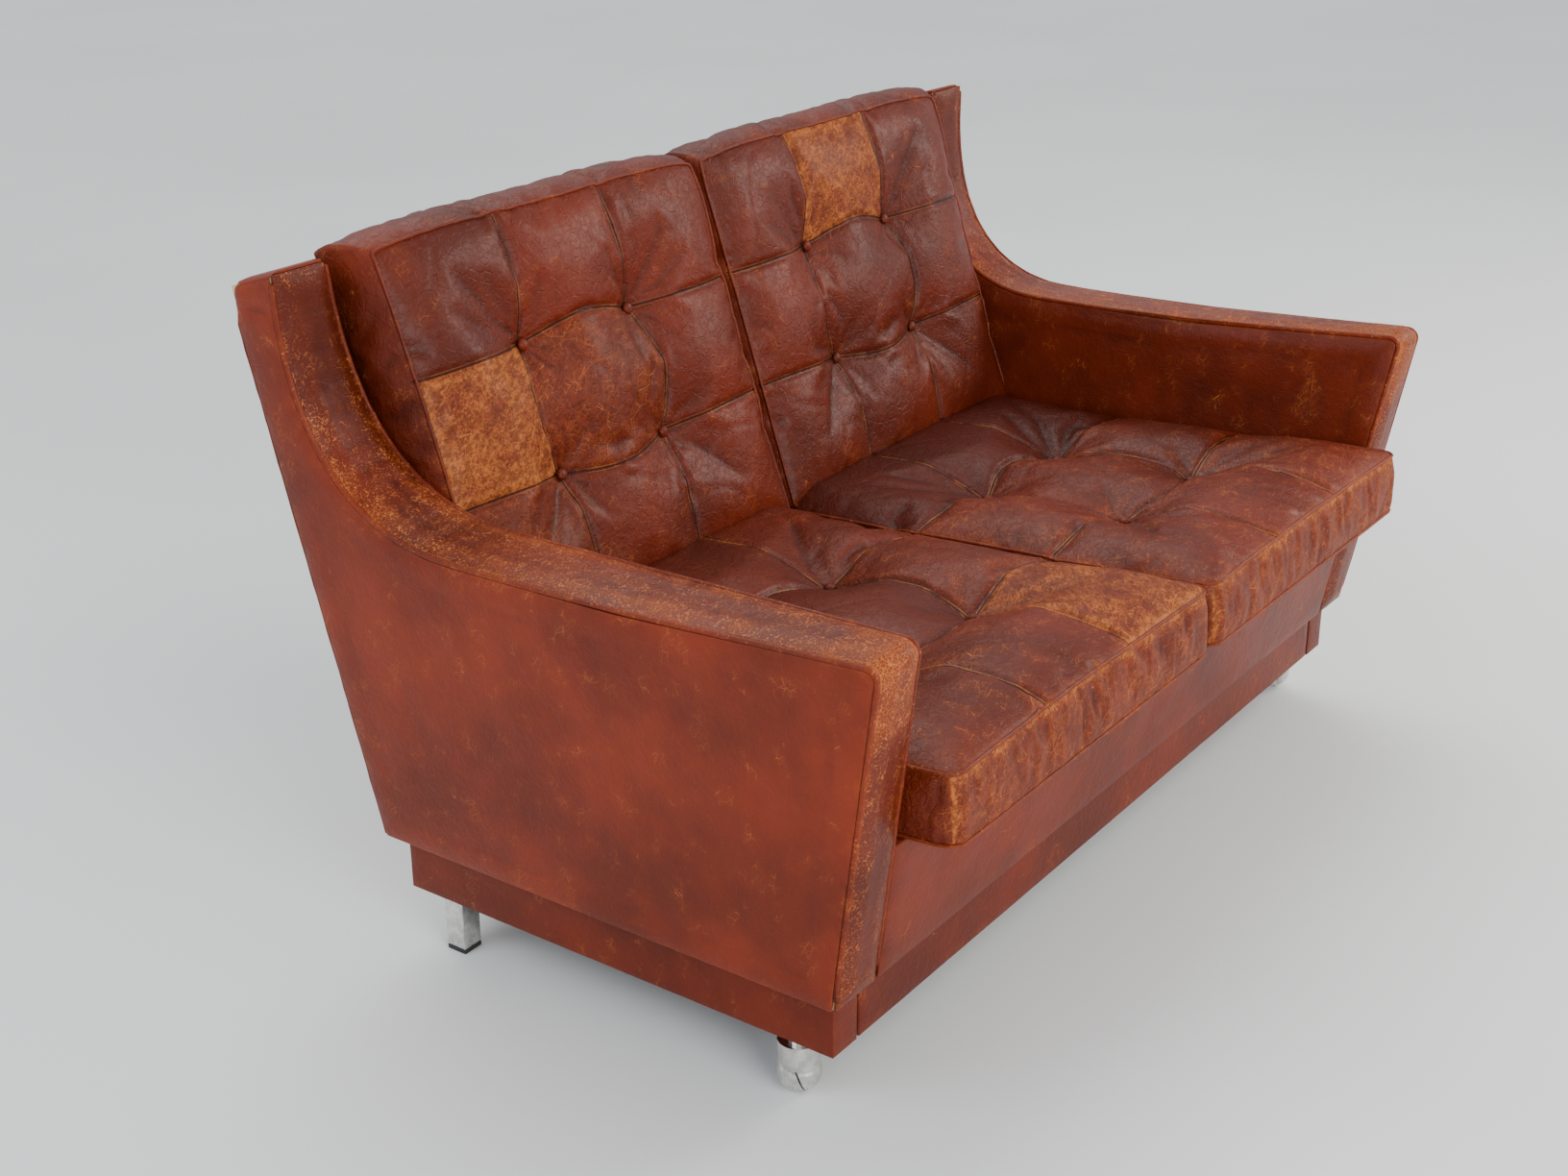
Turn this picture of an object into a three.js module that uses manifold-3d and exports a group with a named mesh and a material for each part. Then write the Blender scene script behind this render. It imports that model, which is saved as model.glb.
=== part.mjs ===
// A worn two-seat leather sofa: splayed arms with wings, loose buttoned cushions,
// two square steel legs at the rear and two hooded ball castors at the front.
// Units are millimetres, +Z is up and the front looks along -Y.

import * as THREE from 'three';
import { mergeVertices } from 'three/addons/utils/BufferGeometryUtils.js';
import Module from 'manifold-3d';

const wasm = await Module();
wasm.setup();

// ---------------------------------------------------------------- driving dimensions

const GAP = 0.3;                  // clearance between pieces that touch
const COVER = 4.5;                // leather on its wadding
const SKIN = COVER + GAP;         // how far a core lies under its cover
const WELT = 2.5;                 // radius of the piped edges
const WELT_INSET = 2.0;           // welt centre, in from both faces it joins
const WELT_FOOT = 6.5;            // where an arm's welt starts, above the arm's foot
const WELT_HEAD = 12;             // where it ends, below the wing top

const FRAME_DEPTH_CENTRE = 336.2; // middle of the whole depth, behind the arm's front corner
const PANEL_BOTTOM = 147;         // underside of arms and rails
const ARM_HALF_WIDTH = 655;       // outer face of an arm at its bottom edge
const ARM_SPLAY = THREE.MathUtils.degToRad(3.49);
const ARM_FRONT_THICKNESS = 73;
const ARM_THICKNESS = 100;
const WING_THICKNESS = 81;

const ARM_TOP = 557;              // height of the arm at its front corner
const ARM_LOW = 535;              // lowest height of the armrest, before it sweeps up
const ARM_FRONT_LEAN = 66;        // how far the top of the arm reaches in front of its foot
const TAPER_END = 250;            // where the arm has reached its full thickness
const SWEEP_START = 480;
const WING_FRONT = 692;
const WING_TOP = 820;
const TOP_SLOPE = Math.atan(0.3); // fall to the rear of the leather over wings and back
const RUNOUT = 20;                // length of an arm outline past each end, before it is cut

const REAR_FOOT = 639;            // rear face at PANEL_BOTTOM
const REAR_TOP = 768;             // rear face at REAR_TOP_HEIGHT
const REAR_TOP_HEIGHT = 802;

const SIDE_BOARD_FROM = 34;       // outer face of an arm to its board
const SIDE_BOARD = 22;
const SIDE_BOARD_INSET = 30;      // in from the arm's edge
const SIDE_BOARD_REAR = 18;       // in from the rear face

const PLINTH_BOTTOM = 72.5;
const PLINTH_INSIDE = 588;
const PLINTH_OUTSIDE = 632;
const PLINTH_FRONT = 17;
const PLINTH_REAR = 622;
const PLINTH_BOARD = 24;
const PLINTH_JOINT = 4;           // open joint between a plinth board and a side beam
const DUST_SHEET = 1.2;

const RAIL_TOP = 318;
const RAIL_DEPTH = 50;
const REAR_RAIL_FRONT = 560;
const REAR_RAIL_REAR = 592;
const REAR_RAIL_BOTTOM = 190;
const REAR_RAIL_TOP = 282;
const CENTRE_RAIL = 32;
const CENTRE_RAIL_BOTTOM = 165;
const CENTRE_RAIL_TOP = 235;
const DECK_SLOPE = Math.atan(0.0597);
const DECK_FRONT_HEIGHT = 319;    // deck plane above the arm's front corner
const WEBBING = 2.5;
const STRAP = 50;
const STRAPS_EACH_WAY = 4;
const STRAP_INNER = 6;            // ends of the straps, across and along one side of the deck
const STRAP_OUTER = 560;
const STRAP_FRONT = 4;
const STRAP_REAR = 588;

const SEAT_THICKNESS = 82;
const SEAT_CROWN = 8;
const SEAT_FRONT = -92;
const SEAT_NOSE = 6;              // bulge of the front boxing
const SEAT_REAR = 606;
const SEAT_HALF_WIDTH = 577;
const CUSHION_CLEARANCE = 1.2;

const BACK_FRONT_FOOT = 517;      // front face of a back cushion, at the seat
const BACK_FRONT_TOP = 670;
const BACK_CUSHION_TOP = 831;
const BACK_HALF_WIDTH = 584;
const LINING_FOOT = 614;          // what a back cushion leans on, at the seat
const LINING_FOOT_HEIGHT = 372;
const LINING_SLOPE = 0.2863;      // run back for each unit of height
const LINING = 3;
const LINING_BOTTOM = 376;
const LINING_TOP = 800;
const BACK_BOARD = 12;
const TOP_RAIL_BOTTOM = 690;
const TOP_RAIL_TOP = 795;
const BACK_SHELF = 744;           // front edge of the back's top, between the wings

const BUTTON_RADIUS = 7.5;
const BUTTON_COLUMNS = [190, 385];
const SEAT_BUTTON_ROWS = [122, 326];
const BACK_BUTTON_HEIGHTS = [532, 684];
const TUFT_DEPTH = 14;
const TUFT_MOUTH = 30;

const LEG = 28;
const LEG_WALL = 2;
const LEG_X = 612;
const LEG_Y = 563;
const STUD_RADIUS = 5;
const STUD_TOP = 112;
const FOOT_CAP = 6;

const CASTOR_X = 610;
const CASTOR_Y = 76;
const BALL = 25;
const CASTOR_TILT = THREE.MathUtils.degToRad(20);
const CASTOR_HEADING = THREE.MathUtils.degToRad(-54);
const CASTOR_TRAIL = 7;           // swivel axis to ball centre
const AXLE_RADIUS = 3;
const AXLE_DEPTH = 18;            // how far the axle runs into the wheel
const NECK_TOP = 64;
const SLEEVE_RADIUS = 9;
const SLEEVE_TOP = 104;
const SLEEVE_FLANGE = 20;

// ---------------------------------------------------------------- lines that follow from them

const ARM_TAPER = (ARM_THICKNESS - ARM_FRONT_THICKNESS) / (TAPER_END + ARM_FRONT_LEAN);
const WING_TAPER = (ARM_THICKNESS - WING_THICKNESS) / (WING_TOP - ARM_LOW);
const REAR_RAKE = Math.atan2(REAR_TOP - REAR_FOOT, REAR_TOP_HEIGHT - PANEL_BOTTOM);
const REAR_SKIN = SKIN / Math.cos(REAR_RAKE);

// The plane of the leather over the wings and the back.
const TOP_NORMAL = new THREE.Vector3(0, Math.sin(TOP_SLOPE), Math.cos(TOP_SLOPE));
const TOP_POINT = new THREE.Vector3(0, WING_FRONT, WING_TOP);

// Half width of the top leather at its outer edge, and where a wing's inner face starts.
const TOP_HALF_WIDTH = ARM_HALF_WIDTH + (WING_TOP - PANEL_BOTTOM) * Math.tan(ARM_SPLAY) - 1;
const WING_INSIDE = TOP_HALF_WIDTH - WING_THICKNESS + 3;

function rearFaceAt(height) {
  const slope = (REAR_TOP - REAR_FOOT) / (REAR_TOP_HEIGHT - PANEL_BOTTOM);
  return REAR_FOOT + slope * (height - PANEL_BOTTOM);
}

function liningAt(height) {
  return LINING_FOOT + LINING_SLOPE * (height - LINING_FOOT_HEIGHT);
}

// ---------------------------------------------------------------- materials

function material(color, roughness, metalness = 0) {
  return new THREE.MeshStandardMaterial({ color, roughness, metalness });
}

const LEATHER = () => material(0x5c2117, 0.45);
const WORN_LEATHER = () => material(0x7a4023, 0.55);
const SEAT_LEATHER = () => material(0x4c241a, 0.5);
const FOAM = () => material(0xd9c48a, 0.95);
const CHIPBOARD = () => material(0xb08a5a, 0.85);
const BEECH = () => material(0xc79a66, 0.7);
const RUBBER = () => material(0x4a3a2c, 0.8);
const BLACK_CLOTH = () => material(0x16130f, 0.95);
const BLACK_PLASTIC = () => material(0x141414, 0.5);
const CHROME = () => material(0xc4c2bd, 0.25, 1);

// ---------------------------------------------------------------- solids

function toSolid(geometry) {
  const bare = geometry.index ? geometry.clone() : geometry;
  bare.deleteAttribute('normal');
  bare.deleteAttribute('uv');
  const merged = mergeVertices(bare, 1e-3);
  return new wasm.Manifold(new wasm.Mesh({
    numProp: 3,
    vertProperties: new Float32Array(merged.attributes.position.array),
    triVerts: new Uint32Array(merged.index.array),
  }));
}

function toGeometry(solid) {
  const mesh = solid.getMesh();
  const geometry = new THREE.BufferGeometry();
  geometry.setAttribute('position', new THREE.BufferAttribute(mesh.vertProperties, 3));
  geometry.setIndex(new THREE.BufferAttribute(mesh.triVerts, 1));
  geometry.computeVertexNormals();
  return geometry;
}

function addPiece(group, name, geometry, finish) {
  const mesh = new THREE.Mesh(geometry, finish);
  mesh.name = name;
  group.add(mesh);
  return mesh;
}

function addSolid(group, name, solid, finish) {
  return addPiece(group, name, toGeometry(solid), finish);
}

const ACROSS = new THREE.Matrix4().makeBasis(
  new THREE.Vector3(0, 1, 0),
  new THREE.Vector3(0, 0, 1),
  new THREE.Vector3(1, 0, 0),
);

// A side outline of (y, z) points, drawn across the sofa from one x to another.
function prism(outline, x0, x1) {
  const left = Math.min(x0, x1);
  const depth = Math.abs(x1 - x0);
  const geometry = new THREE.ExtrudeGeometry(new THREE.Shape(outline), { depth, bevelEnabled: false });
  geometry.applyMatrix4(ACROSS);
  geometry.translate(left, 0, 0);
  return geometry;
}

function box(x0, x1, y0, y1, z0, z1) {
  const geometry = new THREE.BoxGeometry(x1 - x0, y1 - y0, z1 - z0);
  geometry.translate((x0 + x1) / 2, (y0 + y1) / 2, (z0 + z1) / 2);
  return geometry;
}

function uprightCylinder(radius, z0, z1, sides = 24) {
  const geometry = new THREE.CylinderGeometry(radius, radius, z1 - z0, sides);
  geometry.rotateX(Math.PI / 2);
  geometry.translate(0, 0, (z0 + z1) / 2);
  return geometry;
}

// Keeps the points p of a solid where normal . p is at least the offset.
function keepBeyond(solid, normal, offset) {
  const vector = new THREE.Vector3(...normal);
  return solid.trimByPlane(normal, offset / vector.length());
}

// Points of an open outline moved to its right-hand side by a distance.
function offsetPath(points, distance) {
  return points.map((point, i) => {
    const before = points[Math.max(i - 1, 0)];
    const after = points[Math.min(i + 1, points.length - 1)];
    const into = point.clone().sub(before).normalize();
    const out = after.clone().sub(point).normalize();
    const along = into.add(out).normalize();
    const isEnd = i === 0 || i === points.length - 1;
    const leg = after.clone().sub(isEnd ? before : point);
    const mitre = along.dot(leg.normalize());
    return new THREE.Vector2(
      point.x + (along.y * distance) / mitre,
      point.y - (along.x * distance) / mitre,
    );
  });
}

// A curve that goes straight from point to point, for a piped edge.
class PipedEdge extends THREE.Curve {
  constructor(points) {
    super();
    this.points = points;
  }

  getPointAt(u) {
    return this.points[Math.round(u * (this.points.length - 1))].clone();
  }

  getTangentAt(u) {
    const i = Math.round(u * (this.points.length - 1));
    const before = this.points[Math.max(i - 1, 0)];
    const after = this.points[Math.min(i + 1, this.points.length - 1)];
    const into = this.points[i].clone().sub(before).normalize();
    const out = after.clone().sub(this.points[i]).normalize();
    return into.add(out).normalize();
  }
}

function welt(points) {
  const section = new THREE.Shape();
  section.absarc(0, 0, WELT, 0, Math.PI * 2);
  return new THREE.ExtrudeGeometry(section, {
    curveSegments: 4,
    steps: points.length - 1,
    extrudePath: new PipedEdge(points),
  });
}

// ---------------------------------------------------------------- side outlines

// The arm's edge from its front foot, over the armrest and up the wing, as heights
// above PANEL_BOTTOM. It starts below the foot, where every arm piece is cut level.
function armEdge(rounded = true) {
  const top = ARM_TOP - PANEL_BOTTOM;
  const low = ARM_LOW - PANEL_BOTTOM;
  const wing = WING_TOP - PANEL_BOTTOM;
  const path = new THREE.Path();
  path.moveTo((RUNOUT * ARM_FRONT_LEAN) / top, -RUNOUT);
  if (rounded) {
    path.lineTo(-ARM_FRONT_LEAN + 2, top - 18);
    path.quadraticCurveTo(-ARM_FRONT_LEAN, top - 2, -ARM_FRONT_LEAN + 18, top);
  } else {
    path.lineTo(-ARM_FRONT_LEAN, top);
  }
  path.lineTo(TAPER_END, low + 3);
  path.lineTo(SWEEP_START, low);
  path.bezierCurveTo(SWEEP_START + 130, low, WING_FRONT - 7, low + 80, WING_FRONT, low + 230);
  path.lineTo(WING_FRONT, wing + RUNOUT);
  return path.getPoints(10);
}

// The whole side of an arm, in from its edge by a distance, out to the rear cover.
function armSide(inset, rounded = true) {
  const edge = offsetPath(armEdge(rounded), inset);
  const above = WING_TOP - PANEL_BOTTOM + RUNOUT;
  return [
    ...edge,
    new THREE.Vector2(rearFaceAt(PANEL_BOTTOM + above) - REAR_SKIN, above),
    new THREE.Vector2(rearFaceAt(PANEL_BOTTOM - RUNOUT) - REAR_SKIN, -RUNOUT),
  ];
}

// ---------------------------------------------------------------- arms

function armThicknessAt(y, height) {
  return Math.min(
    ARM_FRONT_THICKNESS + ARM_TAPER * (y + ARM_FRONT_LEAN),
    ARM_THICKNESS,
    ARM_THICKNESS - WING_TAPER * (height + PANEL_BOTTOM - ARM_LOW),
  );
}

// Cuts a solid back to the arm's inner face, less an inset. sign is +1 where inward is +X.
function cutToInnerFace(solid, sign, inset) {
  const frontBase = ARM_FRONT_THICKNESS + ARM_TAPER * ARM_FRONT_LEAN;
  const wingBase = ARM_THICKNESS - WING_TAPER * (PANEL_BOTTOM - ARM_LOW);
  const front = keepBeyond(solid, [-sign, ARM_TAPER, 0], inset - frontBase);
  const flat = keepBeyond(front, [-sign, 0, 0], inset - ARM_THICKNESS);
  return keepBeyond(flat, [-sign, 0, -WING_TAPER], inset - wingBase);
}

// Keeps what lies above or below a plane of the whole sofa, for a solid of a turned group.
function cutInGroup(solid, group, normal, point, inset) {
  const toLocal = group.quaternion.clone().invert();
  const localNormal = normal.clone().applyQuaternion(toLocal);
  const localPoint = point.clone().sub(group.position).applyQuaternion(toLocal);
  return keepBeyond(solid, localNormal.toArray(), localNormal.dot(localPoint) + inset);
}

function levelEnds(solid, group) {
  const foot = new THREE.Vector3(0, 0, PANEL_BOTTOM);
  const cut = cutInGroup(solid, group, new THREE.Vector3(0, 0, 1), foot, 0);
  return cutInGroup(cut, group, TOP_NORMAL.clone().negate(), TOP_POINT, SKIN);
}

const OVERRUN = 5;                // of a block past the inner face, before it is cut there

function armBoxing(sign) {
  const edge = armEdge();
  const outline = [...edge, ...offsetPath(edge, COVER).reverse()];
  const block = toSolid(prism(outline, sign * SKIN, sign * (ARM_THICKNESS + OVERRUN)));
  return cutToInnerFace(block, sign, SKIN);
}

function armInnerPanel(sign) {
  const block = toSolid(prism(armSide(SKIN), sign * SKIN, sign * (ARM_THICKNESS + OVERRUN)));
  const reach = 1000;
  const around = toSolid(box(-reach, reach, -reach, reach, -reach, reach));
  return cutToInnerFace(block, sign, 0).subtract(cutToInnerFace(around, sign, COVER));
}

function armBoard(sign, grow) {
  const from = sign * (SIDE_BOARD_FROM - grow);
  const to = sign * (SIDE_BOARD_FROM + SIDE_BOARD + grow);
  const outline = armSide(SIDE_BOARD_INSET - grow, false);
  const solid = toSolid(prism(outline, from, to));
  const rearNormal = [0, -Math.cos(REAR_RAKE), Math.sin(REAR_RAKE)];
  const rearOffset = -Math.cos(REAR_RAKE) * (REAR_FOOT - SIDE_BOARD_REAR + grow);
  return keepBeyond(solid, rearNormal, rearOffset);
}

function armPadding(sign) {
  const block = toSolid(prism(armSide(SKIN), sign * SKIN, sign * (ARM_THICKNESS + OVERRUN)));
  return cutToInnerFace(block, sign, SKIN).subtract(armBoard(sign, GAP));
}

// The welt's line, started above the foot and stopped under the leather of the wing top.
function weltLine(sign, inward) {
  const edge = offsetPath(armEdge(), WELT_INSET);
  edge[0].lerp(edge[1], (WELT_FOOT - edge[0].y) / (edge[1].y - edge[0].y));
  edge[edge.length - 1].y = WING_TOP - PANEL_BOTTOM - WELT_HEAD;
  return edge.map((point) => new THREE.Vector3(sign * inward(point), point.x, point.y));
}

// A group at the outer foot of an arm's front corner, turned with the arm.
function armGroup(side) {
  const arm = new THREE.Group();
  arm.position.set(side * ARM_HALF_WIDTH, 0, PANEL_BOTTOM);
  arm.rotation.y = side * ARM_SPLAY;
  return arm;
}

function addArm(sofa, side, word) {
  const sign = -side;
  const arm = armGroup(side);
  sofa.add(arm);
  const add = (name, solid, finish) => addSolid(arm, name, levelEnds(solid, arm), finish);
  const outerPanel = toSolid(prism(armSide(SKIN), 0, sign * COVER));
  add(`arm_${word}_outer_panel`, outerPanel, LEATHER());
  add(`arm_${word}_inner_panel`, armInnerPanel(sign), LEATHER());
  add(`arm_${word}_boxing`, armBoxing(sign), WORN_LEATHER());
  add(`arm_${word}_padding`, armPadding(sign), FOAM());
  add(`arm_${word}_side_board`, armBoard(sign, 0), CHIPBOARD());
  const outerLine = weltLine(sign, () => WELT_INSET);
  const innerLine = weltLine(sign, (p) => armThicknessAt(p.x, p.y) - WELT_INSET);
  addPiece(arm, `arm_${word}_outer_welt`, welt(outerLine), LEATHER());
  addPiece(arm, `arm_${word}_inner_welt`, welt(innerLine), LEATHER());
}

// Cuts the ends of a piece that lies between the arms, clear of their inner faces.
function cutBetweenArms(solid, clearance) {
  let cut = solid;
  for (const side of [-1, 1]) {
    const arm = armGroup(side);
    const flatNormal = new THREE.Vector3(-side, 0, 0).applyQuaternion(arm.quaternion);
    const taperNormal = new THREE.Vector3(-side, -ARM_TAPER, 0).applyQuaternion(arm.quaternion);
    const flatOffset = flatNormal.dot(arm.position) + ARM_THICKNESS;
    const frontBase = ARM_FRONT_THICKNESS + ARM_TAPER * ARM_FRONT_LEAN;
    const taperOffset = taperNormal.dot(arm.position) + frontBase;
    const flat = keepBeyond(cut, flatNormal.toArray(), flatOffset + clearance);
    const tapered = keepBeyond(cut, taperNormal.toArray(), taperOffset + clearance);
    cut = flat.add(tapered);
  }
  return cut;
}

// ---------------------------------------------------------------- rails and plinth

function railOutline(inset, bottom) {
  const lean = ARM_FRONT_LEAN / (ARM_TOP - PANEL_BOTTOM);
  const top = RAIL_TOP - inset;
  return [
    new THREE.Vector2(inset - lean * (bottom - PANEL_BOTTOM), bottom),
    new THREE.Vector2(RAIL_DEPTH - inset, bottom),
    new THREE.Vector2(RAIL_DEPTH - inset, top - RAIL_DEPTH * Math.tan(DECK_SLOPE)),
    new THREE.Vector2(inset - lean * (top - PANEL_BOTTOM), top),
  ];
}

function addRails(sofa) {
  const reach = ARM_HALF_WIDTH;
  const railInset = SKIN + GAP;
  const outside = toSolid(prism(railOutline(0, PANEL_BOTTOM), -reach, reach));
  const hollow = toSolid(prism(railOutline(SKIN, PANEL_BOTTOM - 10), -reach, reach));
  const core = toSolid(prism(railOutline(railInset, PANEL_BOTTOM), -reach, reach));
  const weltRoom = WELT - WELT_INSET + 2 * GAP;
  addSolid(sofa, 'front_rail_cover', cutBetweenArms(outside.subtract(hollow), weltRoom), LEATHER());
  addSolid(sofa, 'front_rail', cutBetweenArms(core, weltRoom), BEECH());

  const rearRail = toSolid(box(
    -reach, reach, REAR_RAIL_FRONT, REAR_RAIL_REAR, REAR_RAIL_BOTTOM, REAR_RAIL_TOP,
  ));
  addSolid(sofa, 'rear_rail', cutBetweenArms(rearRail, GAP), BEECH());
  const centreRail = box(
    -CENTRE_RAIL / 2, CENTRE_RAIL / 2, RAIL_DEPTH + GAP, REAR_RAIL_FRONT - GAP,
    CENTRE_RAIL_BOTTOM, CENTRE_RAIL_TOP,
  );
  addPiece(sofa, 'centre_rail', centreRail, BEECH());
}

function addPlinth(sofa) {
  const top = PANEL_BOTTOM - GAP;
  const reach = PLINTH_INSIDE - PLINTH_JOINT;
  for (const [word, from] of [['front', PLINTH_FRONT], ['rear', PLINTH_REAR - PLINTH_BOARD]]) {
    const board = box(-reach, reach, from, from + PLINTH_BOARD, PLINTH_BOTTOM, top);
    addPiece(sofa, `plinth_${word}`, board, LEATHER());
  }
  for (const [side, word] of [[-1, 'left'], [1, 'right']]) {
    const inside = Math.min(side * PLINTH_INSIDE, side * PLINTH_OUTSIDE);
    const width = PLINTH_OUTSIDE - PLINTH_INSIDE;
    const beam = toSolid(box(inside, inside + width, PLINTH_FRONT, PLINTH_REAR, PLINTH_BOTTOM, top));
    const studHole = uprightCylinder(STUD_RADIUS + GAP, PLINTH_BOTTOM - 1, STUD_TOP + 2);
    studHole.translate(side * LEG_X, LEG_Y, 0);
    const sleeveHole = uprightCylinder(SLEEVE_RADIUS + GAP, PLINTH_BOTTOM - 1, SLEEVE_TOP + 2);
    sleeveHole.translate(side * CASTOR_X + swivelShift().x, CASTOR_Y + swivelShift().y, 0);
    const drilled = beam.subtract(toSolid(studHole)).subtract(toSolid(sleeveHole));
    addSolid(sofa, `plinth_${word}`, drilled, LEATHER());
  }
}

function addDustCover(sofa) {
  const top = PANEL_BOTTOM - GAP;
  const front = PLINTH_FRONT + PLINTH_BOARD + 1;
  const rear = PLINTH_REAR - PLINTH_BOARD - 1;
  const reach = PLINTH_INSIDE - 2;
  addPiece(sofa, 'dust_cover', box(-reach, reach, front, rear, top - DUST_SHEET, top), BLACK_CLOTH());
}

// ---------------------------------------------------------------- back

function addBack(sofa) {
  const coverTop = (y) => WING_TOP - Math.tan(TOP_SLOPE) * (y - WING_FRONT);
  const under = (y) => coverTop(y) - SKIN / Math.cos(TOP_SLOPE);
  const reach = ARM_HALF_WIDTH;
  const foot = PANEL_BOTTOM + 6;
  const rearCore = (height) => rearFaceAt(height) - REAR_SKIN;

  const boardTop = under(rearCore(REAR_TOP_HEIGHT - BACK_BOARD)) - GAP;
  const board = BACK_BOARD / Math.cos(REAR_RAKE);
  const boardOutline = [
    new THREE.Vector2(rearCore(foot) - board, foot),
    new THREE.Vector2(rearCore(foot), foot),
    new THREE.Vector2(rearCore(boardTop), boardTop),
    new THREE.Vector2(rearCore(boardTop) - board, boardTop),
  ];
  addSolid(sofa, 'back_board', cutWings(boardOutline, reach), CHIPBOARD());

  const liningOutline = [
    new THREE.Vector2(liningAt(LINING_BOTTOM), LINING_BOTTOM),
    new THREE.Vector2(liningAt(LINING_BOTTOM) + LINING, LINING_BOTTOM),
    new THREE.Vector2(liningAt(LINING_TOP) + LINING, LINING_TOP),
    new THREE.Vector2(liningAt(LINING_TOP), LINING_TOP),
  ];
  addSolid(sofa, 'back_lining', cutWings(liningOutline, reach), BLACK_CLOTH());

  const behindLining = (height) => liningAt(height) + LINING + GAP;
  const beforeBoard = (height) => rearCore(height) - board - GAP;
  const topRailOutline = [
    new THREE.Vector2(behindLining(TOP_RAIL_BOTTOM), TOP_RAIL_BOTTOM),
    new THREE.Vector2(beforeBoard(TOP_RAIL_BOTTOM), TOP_RAIL_BOTTOM),
    new THREE.Vector2(beforeBoard(TOP_RAIL_TOP), TOP_RAIL_TOP),
    new THREE.Vector2(behindLining(TOP_RAIL_TOP), TOP_RAIL_TOP),
  ];
  addSolid(sofa, 'back_top_rail', cutWings(topRailOutline, reach), BEECH());
  addRearPanel(sofa);
  addTopCover(sofa);
}

// A prism between the wings, whose ends follow the arms' inner faces.
function cutWings(outline, reach) {
  return cutBetweenArms(toSolid(prism(outline, -reach, reach)), GAP);
}

function addRearPanel(sofa) {
  const rear = new THREE.Group();
  rear.position.set(0, REAR_FOOT, PANEL_BOTTOM);
  rear.rotation.x = -REAR_RAKE;
  sofa.add(rear);
  const height = 720;
  const foot = ARM_HALF_WIDTH - 2;
  const head = foot + height * Math.tan(ARM_SPLAY);
  const outline = new THREE.Shape([
    new THREE.Vector2(-foot, 0),
    new THREE.Vector2(foot, 0),
    new THREE.Vector2(head, height),
    new THREE.Vector2(-head, height),
  ]);
  const sheet = new THREE.ExtrudeGeometry(outline, { depth: COVER, bevelEnabled: false });
  sheet.rotateX(Math.PI / 2);
  const level = new THREE.Vector3(0, 0, PANEL_BOTTOM);
  const cut = cutInGroup(toSolid(sheet), rear, new THREE.Vector3(0, 0, 1), level, 0);
  const panel = cutInGroup(cut, rear, TOP_NORMAL.clone().negate(), TOP_POINT, SKIN);
  addSolid(rear, 'back_outer_panel', panel, LEATHER());
}

function addTopCover(sofa) {
  const top = new THREE.Group();
  top.position.copy(TOP_POINT);
  top.rotation.x = -TOP_SLOPE;
  sofa.add(top);
  const slant = 1 / Math.cos(TOP_SLOPE);
  const lobe = 6;
  const shelf = (BACK_SHELF - WING_FRONT) * slant;
  const rear = (REAR_TOP - WING_FRONT - 1) * slant;
  const outline = new THREE.Shape([
    new THREE.Vector2(-TOP_HALF_WIDTH, lobe),
    new THREE.Vector2(-WING_INSIDE, lobe),
    new THREE.Vector2(-WING_INSIDE, shelf),
    new THREE.Vector2(WING_INSIDE, shelf),
    new THREE.Vector2(WING_INSIDE, lobe),
    new THREE.Vector2(TOP_HALF_WIDTH, lobe),
    new THREE.Vector2(TOP_HALF_WIDTH, rear),
    new THREE.Vector2(-TOP_HALF_WIDTH, rear),
  ]);
  const leather = new THREE.ExtrudeGeometry(outline, { depth: COVER, bevelEnabled: false });
  leather.translate(0, 0, -COVER);
  addPiece(top, 'back_top_cover', leather, LEATHER());
}

// ---------------------------------------------------------------- seat deck and cushions

function deckGroup(sofa) {
  const deck = new THREE.Group();
  deck.position.set(0, 0, DECK_FRONT_HEIGHT);
  deck.rotation.x = -DECK_SLOPE;
  deck.updateMatrix();
  sofa.add(deck);
  return deck;
}

function addWebbing(deck, side, word) {
  const firstAcross = STRAP_INNER + STRAP / 2;
  const firstAlong = STRAP_FRONT + 60;
  const stepAcross = (STRAP_OUTER - STRAP_INNER - STRAP - 40) / (STRAPS_EACH_WAY - 1);
  const stepAlong = (STRAP_REAR - STRAP_FRONT - STRAP - 120) / (STRAPS_EACH_WAY - 1);
  const lengthwise = [];
  const crosswise = [];
  for (let i = 0; i < STRAPS_EACH_WAY; i += 1) {
    const x = firstAcross + i * stepAcross;
    const y = firstAlong + i * stepAlong;
    lengthwise.push(toSolid(box(x, x + STRAP, STRAP_FRONT, STRAP_REAR, 0, WEBBING)));
    crosswise.push(toSolid(box(STRAP_INNER, STRAP_OUTER, y, y + STRAP, 0, WEBBING)));
  }
  const mat = [...lengthwise, ...crosswise].reduce((joined, strap) => joined.add(strap));
  const placed = side > 0 ? mat : mat.mirror([1, 0, 0]);
  addSolid(deck, `seat_webbing_${word}`, placed, RUBBER());
}

function seatOutline() {
  const bottom = WEBBING + GAP;
  const top = bottom + SEAT_THICKNESS;
  const middle = (bottom + top) / 2;
  const path = new THREE.Path();
  path.moveTo(SEAT_REAR, bottom);
  path.lineTo(SEAT_REAR, top);
  path.lineTo(BACK_FRONT_FOOT - 10, top);
  path.quadraticCurveTo((BACK_FRONT_FOOT + SEAT_FRONT) / 2, top + 2 * SEAT_CROWN, SEAT_FRONT + 6, top);
  path.quadraticCurveTo(SEAT_FRONT - 2 * SEAT_NOSE, middle, SEAT_FRONT, bottom);
  return path.getPoints(8);
}

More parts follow.
